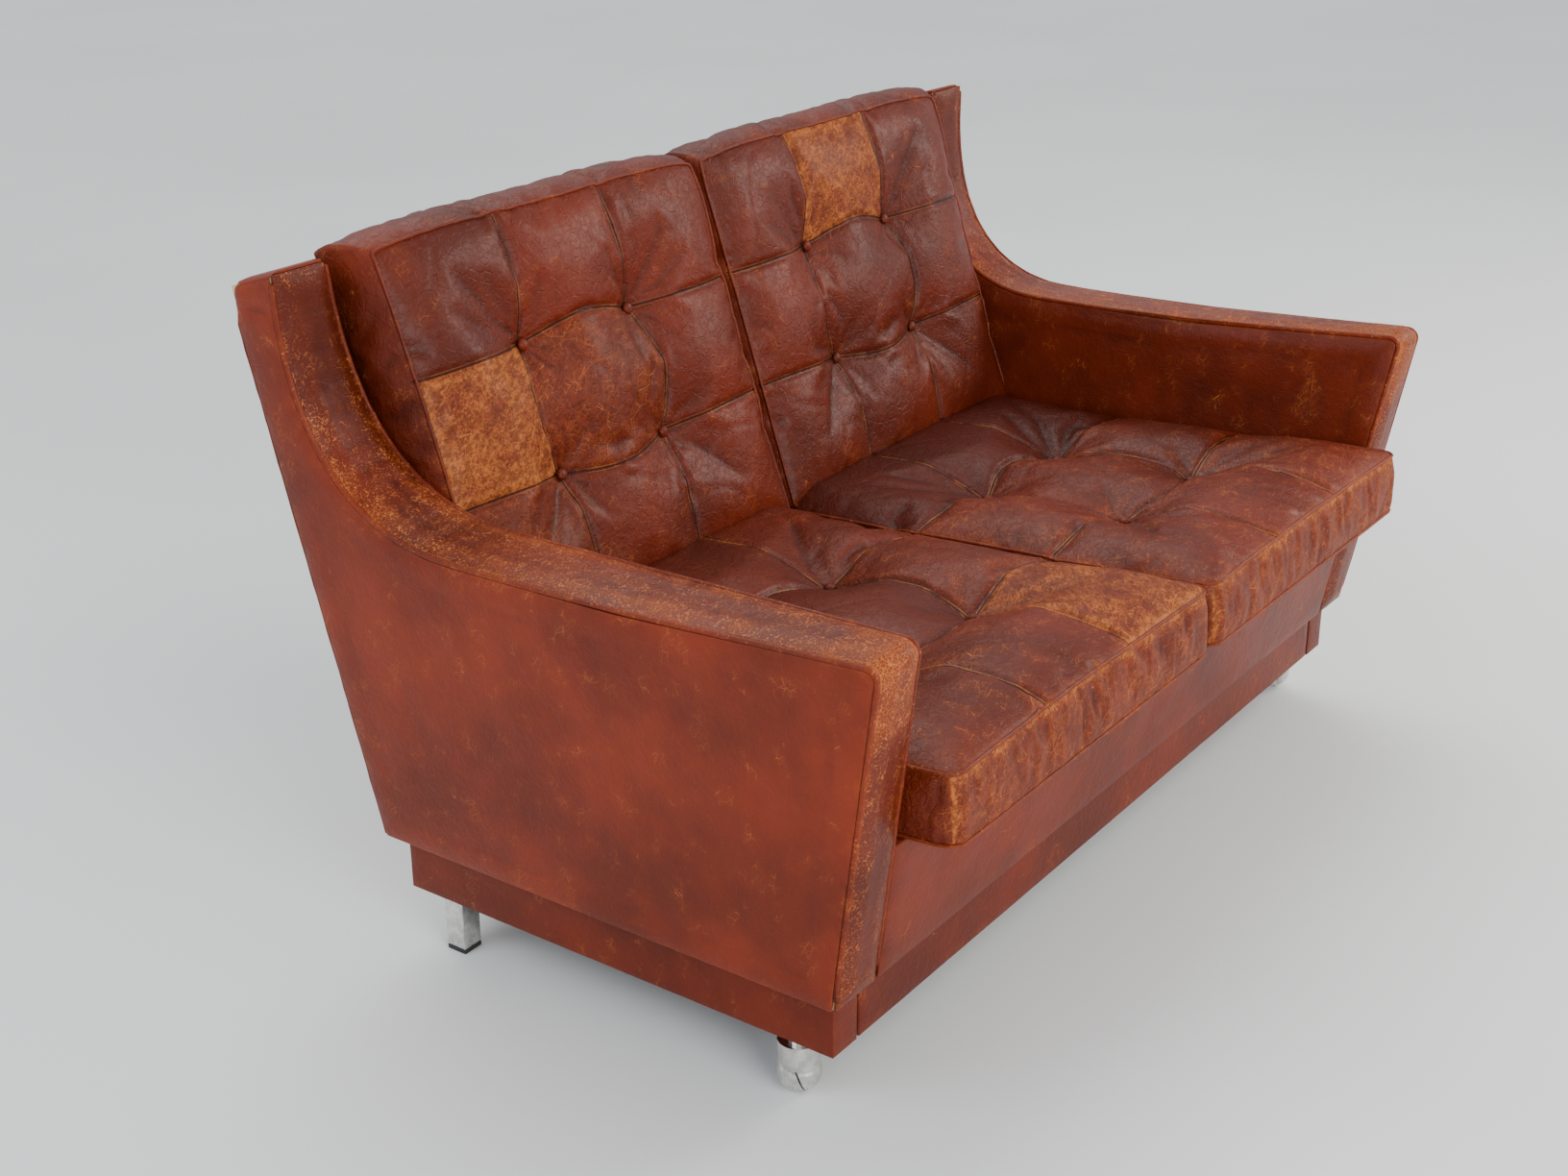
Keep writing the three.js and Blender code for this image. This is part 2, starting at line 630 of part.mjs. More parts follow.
// A buttoned hollow, mouth up, with its floor at the origin.
function tuft() {
  const floor = BUTTON_RADIUS + 1.5;
  const above = 20;
  const profile = [
    new THREE.Vector2(0, 0),
    new THREE.Vector2(floor, 0),
    new THREE.Vector2(TUFT_MOUTH, TUFT_DEPTH + 2),
    new THREE.Vector2(TUFT_MOUTH, TUFT_DEPTH + above),
    new THREE.Vector2(0, TUFT_DEPTH + above),
  ];
  const geometry = new THREE.LatheGeometry(profile, 16);
  geometry.rotateX(Math.PI / 2);
  return geometry;
}

function button() {
  const rise = 5;
  const profile = [
    new THREE.Vector2(0, 0),
    new THREE.Vector2(BUTTON_RADIUS - 1, 0),
    new THREE.Vector2(BUTTON_RADIUS, 1.5),
    new THREE.Vector2(BUTTON_RADIUS * 0.75, rise * 0.75),
    new THREE.Vector2(0, rise),
  ];
  const geometry = new THREE.LatheGeometry(profile, 16);
  geometry.rotateX(Math.PI / 2);
  return geometry;
}

// Cuts the tufts of a cushion and seats a button in each. places are matrices that
// stand a tuft's floor on the cushion's own buttoned surface.
function addButtoned(group, name, solid, places, finish) {
  let cushion = solid;
  for (const { at } of places) {
    cushion = cushion.subtract(toSolid(tuft().applyMatrix4(at)));
  }
  addSolid(group, `${name}_cushion`, cushion, finish);
  for (const { at, word } of places) {
    const lifted = button().translate(0, 0, GAP).applyMatrix4(at);
    addPiece(group, `${name}_button_${word}`, lifted, finish.clone());
  }
}

function sideClear(solid, group) {
  const toWorld = group.matrix.clone();
  const world = solid.transform(toWorld.toArray());
  return cutBetweenArms(world, CUSHION_CLEARANCE).transform(toWorld.invert().toArray());
}

function addSeatCushion(deck, side, word) {
  const inner = CUSHION_CLEARANCE;
  const block = toSolid(prism(seatOutline(), side * inner, side * SEAT_HALF_WIDTH));
  const floor = WEBBING + GAP + SEAT_THICKNESS + SEAT_CROWN / 2 - TUFT_DEPTH;
  const places = [];
  for (const [row, y] of [['front', SEAT_BUTTON_ROWS[0]], ['rear', SEAT_BUTTON_ROWS[1]]]) {
    for (const [column, x] of [['inner', BUTTON_COLUMNS[0]], ['outer', BUTTON_COLUMNS[1]]]) {
      const at = new THREE.Matrix4().makeTranslation(side * x, y, floor);
      places.push({ at, word: `${row}_${column}` });
    }
  }
  addButtoned(deck, `seat_${word}`, sideClear(block, deck), places, SEAT_LEATHER());
}

function backOutline() {
  const seatTop = (y) => (
    DECK_FRONT_HEIGHT - y * Math.tan(DECK_SLOPE)
    + (WEBBING + GAP + SEAT_THICKNESS) / Math.cos(DECK_SLOPE) + 2 * GAP
  );
  const rearTop = BACK_CUSHION_TOP - 7;
  const path = new THREE.Path();
  path.moveTo(BACK_FRONT_FOOT, seatTop(BACK_FRONT_FOOT));
  path.lineTo(LINING_FOOT - 3, seatTop(LINING_FOOT));
  path.lineTo(liningAt(rearTop) - 1, rearTop);
  path.quadraticCurveTo(BACK_FRONT_TOP + 36, BACK_CUSHION_TOP + 18, BACK_FRONT_TOP, BACK_CUSHION_TOP);
  path.quadraticCurveTo(
    (BACK_FRONT_FOOT + BACK_FRONT_TOP) / 2 - 8,
    (seatTop(BACK_FRONT_FOOT) + BACK_CUSHION_TOP) / 2,
    BACK_FRONT_FOOT,
    seatTop(BACK_FRONT_FOOT),
  );
  return path.getPoints(8).slice(0, -1);
}

function addBackCushion(sofa, side, word) {
  const inner = CUSHION_CLEARANCE;
  const block = toSolid(prism(backOutline(), side * inner, side * BACK_HALF_WIDTH));
  const slope = (BACK_FRONT_TOP - BACK_FRONT_FOOT) / (BACK_CUSHION_TOP - LINING_FOOT_HEIGHT);
  const rake = Math.atan(slope);
  const places = [];
  for (const [i, row] of ['lower', 'upper'].entries()) {
    const height = BACK_BUTTON_HEIGHTS[i];
    for (const [column, x] of [['inner', BUTTON_COLUMNS[0]], ['outer', BUTTON_COLUMNS[1]]]) {
      const face = BACK_FRONT_FOOT + slope * (height - LINING_FOOT_HEIGHT);
      const at = new THREE.Matrix4().makeRotationX(Math.PI / 2 - rake);
      at.setPosition(side * x, face + (TUFT_DEPTH - 4) / Math.cos(rake), height);
      places.push({ at, word: `${row}_${column}` });
    }
  }
  addButtoned(sofa, `back_${word}`, cutBetweenArms(block, CUSHION_CLEARANCE), places, LEATHER());
}

// ---------------------------------------------------------------- legs and castors

function addRearLeg(sofa, side, word) {
  const half = LEG / 2;
  const top = PLINTH_BOTTOM - GAP;
  const inside = half - LEG_WALL;
  const tube = toSolid(box(-half, half, -half, half, FOOT_CAP + GAP, top));
  const bore = toSolid(box(-inside, inside, -inside, inside, 0, top - 3));
  const stud = toSolid(uprightCylinder(STUD_RADIUS, top - 2, STUD_TOP));
  const leg = addSolid(sofa, `rear_leg_${word}`, tube.subtract(bore).add(stud), CHROME());
  leg.position.set(side * LEG_X, LEG_Y, 0);

  const plug = inside - GAP;
  const flange = toSolid(box(-half, half, -half, half, 0, FOOT_CAP));
  const insert = toSolid(box(-plug, plug, -plug, plug, FOOT_CAP - 1, FOOT_CAP + 16));
  const cap = addSolid(sofa, `foot_cap_${word}`, flange.add(insert), BLACK_PLASTIC());
  cap.position.set(side * LEG_X, LEG_Y, 0);
}

// From the ball's centre to the swivel axis, along the castor's heading.
function swivelShift() {
  return new THREE.Vector2(
    CASTOR_TRAIL * Math.cos(CASTOR_HEADING),
    CASTOR_TRAIL * Math.sin(CASTOR_HEADING),
  );
}

// Half a ball round the local Z axis, below its flat face, bored for the axle.
function ballWheel() {
  const face = -1;
  const bore = AXLE_RADIUS + GAP;
  const depth = -AXLE_DEPTH - 1;
  const profile = [];
  const start = Math.asin(face / BALL);
  const steps = 10;
  for (let i = 0; i <= steps; i += 1) {
    const angle = -Math.PI / 2 + ((start + Math.PI / 2) * i) / steps;
    profile.push(new THREE.Vector2(i === 0 ? 0 : BALL * Math.cos(angle), BALL * Math.sin(angle)));
  }
  profile.push(new THREE.Vector2(bore, face));
  profile.push(new THREE.Vector2(bore, depth));
  profile.push(new THREE.Vector2(0, depth));
  const geometry = new THREE.LatheGeometry(profile, 36);
  geometry.rotateX(Math.PI / 2);
  return geometry;
}

// Turns a castor piece made round local Z onto the tilted wheel axis.
function ontoAxle(geometry) {
  geometry.rotateY(Math.PI / 2 - CASTOR_TILT);
  geometry.translate(0, 0, BALL);
  return geometry;
}

function castorHood() {
  const clearance = 0.9;
  const ball = new THREE.SphereGeometry(BALL, 32, 16);
  ball.rotateX(Math.PI / 2);
  ball.translate(0, 0, BALL);
  const neck = uprightCylinder(BALL - 1.5, BALL + 6, NECK_TOP, 32);
  const wheelSpace = toSolid(ontoAxle(uprightCylinder(BALL + 4, -BALL - 8, clearance, 32)));
  const wheelBall = new THREE.SphereGeometry(BALL + clearance, 32, 16);
  wheelBall.translate(0, 0, BALL);
  const wheelRoom = wheelSpace.intersect(toSolid(wheelBall));
  const swivelPin = uprightCylinder(STUD_RADIUS, NECK_TOP - 2, SLEEVE_TOP - 4);
  swivelPin.translate(CASTOR_TRAIL, 0, 0);
  const axle = ontoAxle(uprightCylinder(AXLE_RADIUS, -AXLE_DEPTH, 6, 16));
  return toSolid(ball).add(toSolid(neck)).subtract(wheelRoom)
    .add(toSolid(swivelPin)).add(toSolid(axle));
}

function castorSleeve() {
  const bottom = NECK_TOP + GAP;
  const flange = toSolid(uprightCylinder(SLEEVE_FLANGE, bottom, PLINTH_BOTTOM - GAP));
  const sleeve = toSolid(uprightCylinder(SLEEVE_RADIUS, bottom, SLEEVE_TOP));
  const bore = toSolid(uprightCylinder(STUD_RADIUS + GAP, bottom - 1, SLEEVE_TOP - 3));
  return flange.add(sleeve).subtract(bore);
}

function addCastor(sofa, side, word) {
  const castor = new THREE.Group();
  castor.position.set(side * CASTOR_X, CASTOR_Y, 0);
  castor.rotation.z = CASTOR_HEADING;
  sofa.add(castor);
  addPiece(castor, `castor_${word}_wheel`, ontoAxle(ballWheel()), CHROME());
  addSolid(castor, `castor_${word}_hood`, castorHood(), CHROME());
  const sleeve = addSolid(castor, `castor_${word}_sleeve`, castorSleeve(), CHROME());
  sleeve.position.set(CASTOR_TRAIL, 0, 0);
}

// ---------------------------------------------------------------- sofa

function buildSofa() {
  const sofa = new THREE.Group();
  sofa.position.set(0, -FRAME_DEPTH_CENTRE, 0);
  addRails(sofa);
  addPlinth(sofa);
  addDustCover(sofa);
  addBack(sofa);
  const deck = deckGroup(sofa);
  for (const [side, word] of [[-1, 'left'], [1, 'right']]) {
    addArm(sofa, side, word);
    addWebbing(deck, side, word);
    addSeatCushion(deck, side, word);
    addBackCushion(sofa, side, word);
    addRearLeg(sofa, side, word);
    addCastor(sofa, side, word);
  }
  return sofa;
}

export default buildSofa();
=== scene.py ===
"""A worn leather two-seat sofa: leather-covered arms, buttoned cushions, steel feet."""

import math

import bmesh
import bpy
import numpy as np
from bpy.props import FloatProperty, FloatVectorProperty, PointerProperty
from mathutils import Matrix, Vector, kdtree, noise
from mathutils.bvhtree import BVHTree


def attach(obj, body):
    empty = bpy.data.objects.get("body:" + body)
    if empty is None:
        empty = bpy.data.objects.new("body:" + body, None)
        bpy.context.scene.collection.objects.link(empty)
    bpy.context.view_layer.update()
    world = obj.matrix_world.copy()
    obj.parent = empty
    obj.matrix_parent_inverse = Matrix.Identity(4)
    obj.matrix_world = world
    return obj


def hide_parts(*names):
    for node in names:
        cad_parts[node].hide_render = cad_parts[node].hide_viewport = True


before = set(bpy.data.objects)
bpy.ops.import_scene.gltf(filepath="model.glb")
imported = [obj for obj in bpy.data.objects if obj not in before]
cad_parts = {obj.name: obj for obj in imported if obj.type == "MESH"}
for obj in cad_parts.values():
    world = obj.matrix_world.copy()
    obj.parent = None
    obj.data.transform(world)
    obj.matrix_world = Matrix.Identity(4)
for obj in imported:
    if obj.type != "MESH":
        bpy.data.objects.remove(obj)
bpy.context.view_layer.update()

bl_info = {
    "name": "Worn Leather Sofa",
    "version": (1, 0, 0),
    "blender": (4, 5, 0),
    "location": "3D View > Sidebar > Sofa",
    "description": "Builds the leather, cushions and feet of a worn two-seat sofa",
    "category": "Object",
}

SIDES = ((-1, "left"), (1, "right"))

# The sofa's layout in metres: heights above the floor, and depths behind the arms' front corners.
DEPTH_CENTRE = 0.3362            # depth of the frame's origin
DECK_HEIGHT = 0.319              # of the webbing, at the arms' front corners
DECK_SLOPE = math.atan(0.0597)   # fall of the webbing towards the back
WEBBING = 0.0028                 # thickness of its straps
SEAT_FRONT = -0.092
SEAT_REAR = 0.606
SEAT_THICKNESS = 0.082
SEAT_TAPER_END = 0.25            # depth at which the seat stops narrowing
SEAT_BUTTONS = (0.122, 0.326)    # depths of the two rows
BACK_FOOT = (0.517, 0.3755)      # front of a back cushion at the seat, as depth and height
BACK_HEAD = (0.670, 0.831)       # and at its top
BACK_BUTTONS = (0.532, 0.684)    # heights of the two rows
BUTTONS_ACROSS = (0.190, 0.385)  # of both seat and back, from the middle of the sofa
LINING_FOOT = (0.614, 0.372)     # front of the back lining at the seat, as depth and height
LINING_SLOPE = 0.2863            # its run back for each metre of height
ARM_SPLAY = math.radians(3.49)   # lean of an arm's outer panel
ARM_HALF_WIDTH = 0.655           # from the middle of the sofa to the foot of that panel
PANEL_BOTTOM = 0.147             # height of that foot
REAR_FOOT = 0.639                # depth of the rear panel's foot
REAR_SLOPE = 0.19695             # run back of the rear panel for each metre of height
WING_FRONT = 0.692               # depth and height of a wing's top at its front
WING_TOP = 0.820
TOP_FALL = 0.3                   # drop of the wing's top for each metre back

WELD = 2e-5                      # vertices of a CAD mesh nearer than this are one corner
FLAT = math.radians(2)           # faces that turn less than this are one face
TINY = 1e-9                      # keeps a division by a length from being by 0


# -------------------- settings

def colour_setting(name, description, default):
    return FloatVectorProperty(
        name=name, description=description, default=default,
        size=3, subtype="COLOR", min=0.0, max=1.0,
    )


def length_setting(name, description, default):
    return FloatProperty(name=name, description=description, default=default, unit="LENGTH")


class SofaLeatherSettings(bpy.types.PropertyGroup):
    # Deep: painted shade in the cushions' folds and round their buttons, and the dark line along
    # each seam.
    deep: colour_setting("Deep", "Leather in folds and along seams", (0.022, 0.0030, 0.0014))
    base: colour_setting("Base", "Dye of the sound leather", (0.200, 0.0212, 0.0046))
    light: colour_setting("Light", "Leather rubbed a little", (0.30, 0.052, 0.0105))
    tan: colour_setting("Tan", "Hide bared where the dye is gone", (0.43, 0.130, 0.029))


class SofaShapeSettings(bpy.types.PropertyGroup):
    tuft_depth: length_setting("Tuft depth", "How far a button draws in its cushion", 0.020)
    seam_depth: length_setting("Seam depth", "Depth of the groove along a cushion's seam", 0.0020)
    piping: length_setting("Piping", "Radius of the cushions' piped edges", 0.0021)
    panel_crown: length_setting("Panel crown", "Swell of a leather panel over its wadding", 0.0025)


class SofaStageSettings(bpy.types.PropertyGroup):
    floor: colour_setting("Floor", "The pale floor", (0.74, 0.76, 0.76))
    camera_height: length_setting("Camera height", "Height of the camera above the floor", 1.3867)


# -------------------- shader expressions

class Field:
    """The value of a socket, which sums and products turn into Math nodes."""

    def __init__(self, finish, socket):
        self.finish = finish
        self.socket = socket

    def math(self, operation, *others, clamp=False):
        inputs = {0: self, **{i + 1: other for i, other in enumerate(others)}}
        settings = {"operation": operation, "use_clamp": clamp}
        return self.finish.field("ShaderNodeMath", settings, inputs)

    def __add__(self, other):
        return self.math("ADD", other)

    __radd__ = __add__

    def __mul__(self, other):
        return self.math("MULTIPLY", other)

    __rmul__ = __mul__

    def __sub__(self, other):
        return self.math("SUBTRACT", other)

    def __rsub__(self, other):
        return (self * -1.0) + other

    def clamped(self):
        return self.math("ADD", 0.0, clamp=True)

    def at_most(self, other):
        return self.math("MINIMUM", other)

    def step(self, low, high):
        """Rises smoothly from 0 at low to 1 at high."""
        settings = {"interpolation_type": "SMOOTHSTEP"}
        inputs = {"Value": self, "From Min": low, "From Max": high}
        return self.finish.field("ShaderNodeMapRange", settings, inputs, "Result")


class Finish:
    """A material and the nodes that give it its colour, gloss and relief."""

    def __init__(self, name):
        self.material = bpy.data.materials.new(name)
        self.material.use_nodes = True
        self.tree = self.material.node_tree
        self.shader = self.tree.nodes["Principled BSDF"]
        self.place = self.field("ShaderNodeTexCoord", {}, {}, "Object")

    def feed(self, socket, value):
        if isinstance(value, Field):
            self.tree.links.new(value.socket, socket)
        elif socket.type == "RGBA" and len(value) == 3:
            socket.default_value = (*value, 1.0)
        else:
            socket.default_value = value

    def field(self, kind, settings, inputs, output=0):
        """What a new node with these settings and inputs gives."""
        node = self.tree.nodes.new(kind)
        for name, value in settings.items():
            setattr(node, name, value)
        for key, value in inputs.items():
            self.feed(node.inputs[key], value)
        return Field(self, node.outputs[output])

    def noise(self, scale, detail, roughness, distortion=0.0, place=None):
        inputs = {
            "Vector": place or self.place, "Scale": scale, "Detail": detail,
            "Roughness": roughness, "Distortion": distortion,
        }
        return self.field("ShaderNodeTexNoise", {}, inputs, "Fac")

    def cells(self, scale, feature="DISTANCE_TO_EDGE", place=None):
        inputs = {"Vector": place or self.place, "Scale": scale}
        settings = {"feature": feature, "voronoi_dimensions": "3D"}
        return self.field("ShaderNodeTexVoronoi", settings, inputs, "Distance")

    def stretched(self, scale, turn):
        """The piece's own place, drawn out along its axes and turned."""
        inputs = {"Vector": self.place, "Rotation": turn, "Scale": scale}
        return self.field("ShaderNodeMapping", {"vector_type": "TEXTURE"}, inputs, "Vector")

    def attribute(self, name):
        return self.field("ShaderNodeAttribute", {"attribute_name": name}, {}, "Fac")

    def mix(self, factor, first, second):
        """The first colour at 0, and the second at 1."""
        inputs = {0: factor, 6: first, 7: second}
        return self.field("ShaderNodeMix", {"data_type": "RGBA"}, inputs, 2)

    def bump(self, height, distance, strength, normal=None):
        inputs = {"Height": height, "Distance": distance, "Strength": strength}
        if normal is not None:
            inputs["Normal"] = normal
        return self.field("ShaderNodeBump", {}, inputs, "Normal")

    def set(self, **inputs):
        for name, value in inputs.items():
            self.feed(self.shader.inputs[name.replace("_", " ")], value)
        return self.material


# -------------------- mesh tools

def new_object(name, data):
    obj = bpy.data.objects.new(name, data)
    bpy.context.scene.collection.objects.link(obj)
    return obj


def object_from(bm, name):
    mesh = bpy.data.meshes.new(name)
    bm.to_mesh(mesh)
    bm.free()
    return new_object(name, mesh)


def cad_copy(node):
    """The mesh of a CAD piece, its corners joined."""
    bm = bmesh.new()
    bm.from_mesh(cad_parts[node].data)
    bmesh.ops.remove_doubles(bm, verts=bm.verts, dist=WELD)
    return bm


def flat_sided_copy(node, sharp_angle):
    """The same with one face for each flat side, and its sharp edges."""
    bm = cad_copy(node)
    bmesh.ops.dissolve_limit(bm, angle_limit=FLAT, verts=bm.verts, edges=bm.edges)
    return bm, [e for e in bm.edges if e.calc_face_angle(0.0) > math.radians(sharp_angle)]


def ease(bm, edges, rounding, segments):
    bmesh.ops.bevel(
        bm, geom=edges, offset=rounding, offset_type="OFFSET", segments=segments,
        profile=0.5, affect="EDGES", clamp_overlap=True, material=-1,
    )


def read(items, key):
    """Three numbers of each item, as rows."""
    flat = np.empty(len(items) * 3)
    items.foreach_get(key, flat)
    return flat.reshape(-1, 3)


def read_points(mesh):
    return read(mesh.vertices, "co")


def read_normals(mesh):
    return read(mesh.vertex_normals, "vector")


def read_place(mesh):
    return read(mesh.attributes["place"].data, "vector")


def write_points(mesh, points):
    mesh.vertices.foreach_set("co", np.ascontiguousarray(points).ravel())
    mesh.update()


def store(mesh, name, values):
    attribute = mesh.attributes.get(name) or mesh.attributes.new(name, "FLOAT", "POINT")
    attribute.data.foreach_set("value", np.asarray(values, dtype=np.float32))


def store_place(mesh, place):
    """Keeps each vertex's fractions across, along and through its cushion."""
    attribute = mesh.attributes.new("place", "FLOAT_VECTOR", "POINT")
    attribute.data.foreach_set("vector", np.asarray(place, dtype=np.float32).ravel())


def neighbour_mean(mesh, values, rounds):
    """Values averaged over each vertex's neighbours, a number of times."""
    pairs = np.empty(len(mesh.edges) * 2, dtype=np.int64)
    mesh.edges.foreach_get("vertices", pairs)
    first, second = pairs[0::2], pairs[1::2]
    count = np.bincount(pairs, minlength=len(values))[:, None]
    for _ in range(rounds):
        total = np.empty_like(values)
        for axis in range(values.shape[1]):
            column = values[:, axis]
            total[:, axis] = (
                np.bincount(first, column[second], len(values))
                + np.bincount(second, column[first], len(values))
            )
        values = 0.5 * values + 0.5 * total / np.maximum(count, 1)
    return values


def store_relief(mesh, rounds=8, height=0.0012):
    """Marks crests above 0, for rubbed leather, and hollows below 0, for painted shade."""
    points = read_points(mesh)
    level = neighbour_mean(mesh, points, rounds)
    rise = ((points - level) * read_normals(mesh)).sum(1)
    store(mesh, "relief", np.clip(rise / height, -1.0, 1.0))


def bake(obj):
    """Makes what the object's modifiers give its own mesh."""
    evaluated = obj.evaluated_get(bpy.context.evaluated_depsgraph_get())
    mesh = bpy.data.meshes.new_from_object(evaluated)
    mesh.name = obj.name
    obj.modifiers.clear()
    obj.data = mesh


def ripple(points, scale, octaves, seed):
    """Soft noise of each point, about -1 to 1."""
    shift = Vector((seed, -seed * 0.7, seed * 1.3))
    return np.array([
        noise.fractal(Vector(p) * scale + shift, 0.7, 2.1, octaves) for p in points
    ])


def paint(obj, material):
    obj.data.materials.clear()
    obj.data.materials.append(material)


def finish_piece(obj, material, nodes=()):
    """Gives a piece its material and its place among the sofa's pieces."""
    paint(obj, material)
    obj.data.polygons.foreach_set("use_smooth", np.ones(len(obj.data.polygons), dtype=bool))
    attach(obj, "sofa")
    if nodes:
        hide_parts(*nodes)


# -------------------- leather stretched over the frame

def cut_in_steps(bm, cell):
    """Cuts every face along planes a cell apart, so that it can be shaped."""
    low = [min(v.co[axis] for v in bm.verts) for axis in range(3)]
    high = [max(v.co[axis] for v in bm.verts) for axis in range(3)]
    for axis in range(3):
        normal = Vector((0.0, 0.0, 0.0))
        normal[axis] = 1.0
        count = max(1, round((high[axis] - low[axis]) / cell))
        for i in range(1, count):
            at = normal * (low[axis] + (high[axis] - low[axis]) * i / count)
            everything = bm.verts[:] + bm.edges[:] + bm.faces[:]
            bmesh.ops.bisect_plane(bm, geom=everything, dist=1e-6, plane_co=at, plane_no=normal)


def covered_piece(node, backing, cell, rounding, crown, waves, seed):
    """A finely divided copy of a CAD piece, its edges rounded and its face swollen."""
    bm, sharp = flat_sided_copy(node, 35)
    spacing = 0.004
    rim = kdtree.KDTree(sum(int(e.calc_length() / spacing) + 2 for e in sharp))
    for edge in sharp:
        steps = int(edge.calc_length() / spacing) + 1
        for i in range(steps + 1):
            rim.insert(edge.verts[0].co.lerp(edge.verts[1].co, i / steps), 0)
    rim.balance()
    ease(bm, sharp, rounding, 2)
    cut_in_steps(bm, cell)
    bmesh.ops.triangulate(bm, faces=[f for f in bm.faces if len(f.verts) > 4])
    obj = object_from(bm, f"{node}_skin")
    points, normals = read_points(obj.data), read_normals(obj.data)
    from_rim = np.array([rim.find(p)[2] for p in points])
    free = facing_out(points, normals, backing)
    wadding, roll_at, roll_width = 0.03, 0.017, 0.010
    swell = crown * (1.0 - np.exp(-((from_rim / wadding) ** 2)))
    swell = swell + 0.6 * crown * np.exp(-(((from_rim - roll_at) / roll_width) ** 2))
    near_rim = np.exp(-from_rim / 0.02)
    slack, puckers = ripple(points, 14.0, 2, seed), ripple(points, 75.0, 1, seed + 5.0)
    swell = swell + waves * slack * (1.0 - near_rim) + 0.5 * waves * puckers * near_rim
    write_points(obj.data, points + normals * (swell * free)[:, None])
    store(obj.data, "edge", np.exp(-from_rim / 0.008) * free)
    return obj


def round_wings(obj, radius=0.017):
    """Rounds the sofa's upper rear edges and wing tops over, like padded leather."""
    points = read_points(obj.data)
    side = np.abs(points[:, 0])
    outer = math.cos(ARM_SPLAY) * (ARM_HALF_WIDTH - side) \
        + math.sin(ARM_SPLAY) * (points[:, 2] - PANEL_BOTTOM)
    depth = points[:, 1] + DEPTH_CENTRE
    rake = math.atan(REAR_SLOPE)
    rear = math.cos(rake) * (REAR_FOOT - depth) + math.sin(rake) * (points[:, 2] - PANEL_BOTTOM)
    fall = math.atan(TOP_FALL)
    top = math.sin(fall) * (WING_FRONT - depth) + math.cos(fall) * (WING_TOP - points[:, 2])
    faces = np.stack([outer, rear, top])
    short = np.clip(radius - faces, 0.0, None)
    starts, blend = WING_TOP - 0.11, 0.06
    short[:2] *= np.clip((points[:, 2] - starts) / blend, 0.0, 1.0)
    far = np.linalg.norm(short, axis=0)
    excess = np.clip(far - radius, 0.0, None) / np.maximum(far, TINY)
    lean, zero = np.sign(points[:, 0]), np.zeros(len(points))
    ways = np.stack([
        np.stack([lean * math.cos(ARM_SPLAY), zero, zero - math.sin(ARM_SPLAY)], axis=1),
        np.stack([zero, zero + math.cos(rake), zero - math.sin(rake)], axis=1),
        np.stack([zero, zero + math.sin(fall), zero + math.cos(fall)], axis=1),
    ])
    move = -(ways * (short * excess)[:, :, None]).sum(axis=0)
    write_points(obj.data, points + move)


def facing_out(points, normals, backing):
    """1 where a cover's surface is seen, and 0 where it faces what it is stretched over."""
    free = np.ones(len(points))
    thickest = 0.012
    for node in backing:
        tree = core_tree(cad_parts[node])
        for i, (point, normal) in enumerate(zip(points, normals)):
            nearest, _, _, gap = tree.find_nearest(Vector(point))
            toward = nearest - Vector(point)
            if gap < thickest and toward.dot(Vector(normal)) > 0.4 * gap:
                free[i] = 0.0
    return free


def core_tree(core):
    """The faces of a CAD piece, ready to be searched."""
    points = [v.co.copy() for v in core.data.vertices]
    return BVHTree.FromPolygons(points, [p.vertices[:] for p in core.data.polygons])


# -------------------- stuffed cushions

class Cushion:
    """A boxed cushion laid out by fractions across, along and through it."""

    def __init__(self, name, corner, size, cells, seams, face, slot, wrinkle):
        self.name = name
        self.corner = corner          # corner(a, b, c) gives points in metres
        self.size = size              # width and length in metres
        self.cells = cells            # divisions across, along and through
        self.seams = seams            # fractions across and along
        self.tufts = [(a, b) for a in seams[0] for b in seams[1]]
        self.face = Vector(face)      # way out of the buttoned face
        self.slot = slot
        self.wrinkle = wrinkle        # height of the wrinkles round its sides, in metres


def divided_box(cells):
    bm = bmesh.new()
    bmesh.ops.create_cube(bm, size=1.0)
    for axis, count in enumerate(cells):
        along = [
            e for e in bm.edges
            if abs(e.verts[0].co[axis] - e.verts[1].co[axis]) > 0.9
        ]
        bmesh.ops.subdivide_edges(bm, edges=along, cuts=count - 1, use_grid_fill=True)
    bmesh.ops.translate(bm, verts=bm.verts, vec=(0.5, 0.5, 0.5))
    return bm


def tuft_distance(place, cushion):
    """Distance from each button, in metres."""
    width, length = cushion.size
    return np.array([
        np.hypot((place[:, 0] - a) * width, (place[:, 1] - b) * length)
        for a, b in cushion.tufts
    ])


def seam_distance(place, cushion):
    """Distance from the nearest seam. The seams across the cushion bow away from its middle."""
    width, length = cushion.size
    across = [np.abs(place[:, 0] - seam_line(place, cushion, 0, i)) * width for i in (0, 1)]
    along = [np.abs(place[:, 1] - seam_line(place, cushion, 1, i)) * length for i in (0, 1)]
    return np.min(across + along, axis=0)


def seam_line(place, cushion, axis, i):
    """Where a seam lies, bowing outward between and beyond the buttons it passes."""
    at, first, last = cushion.seams[axis][i], *cushion.seams[1 - axis]
    run = place[:, 1 - axis]
    between = np.clip((run - first) / (last - first), 0.0, 1.0)
    beyond = np.clip(np.maximum(first - run, run - last), 0.0, 1.0)
    middle_bow, end_bow, end_reach = 0.030, 0.16, 0.45
    bow = middle_bow * np.sin(math.pi * between) - end_bow * beyond * (end_reach - beyond)
    return at + (bow if i else -bow)


def rim_distance(a, b, cushion):
    """Distance from the border of the cushion, in metres."""
    width, length = cushion.size
    return np.minimum(np.minimum(a, 1 - a) * width, np.minimum(b, 1 - b) * length)


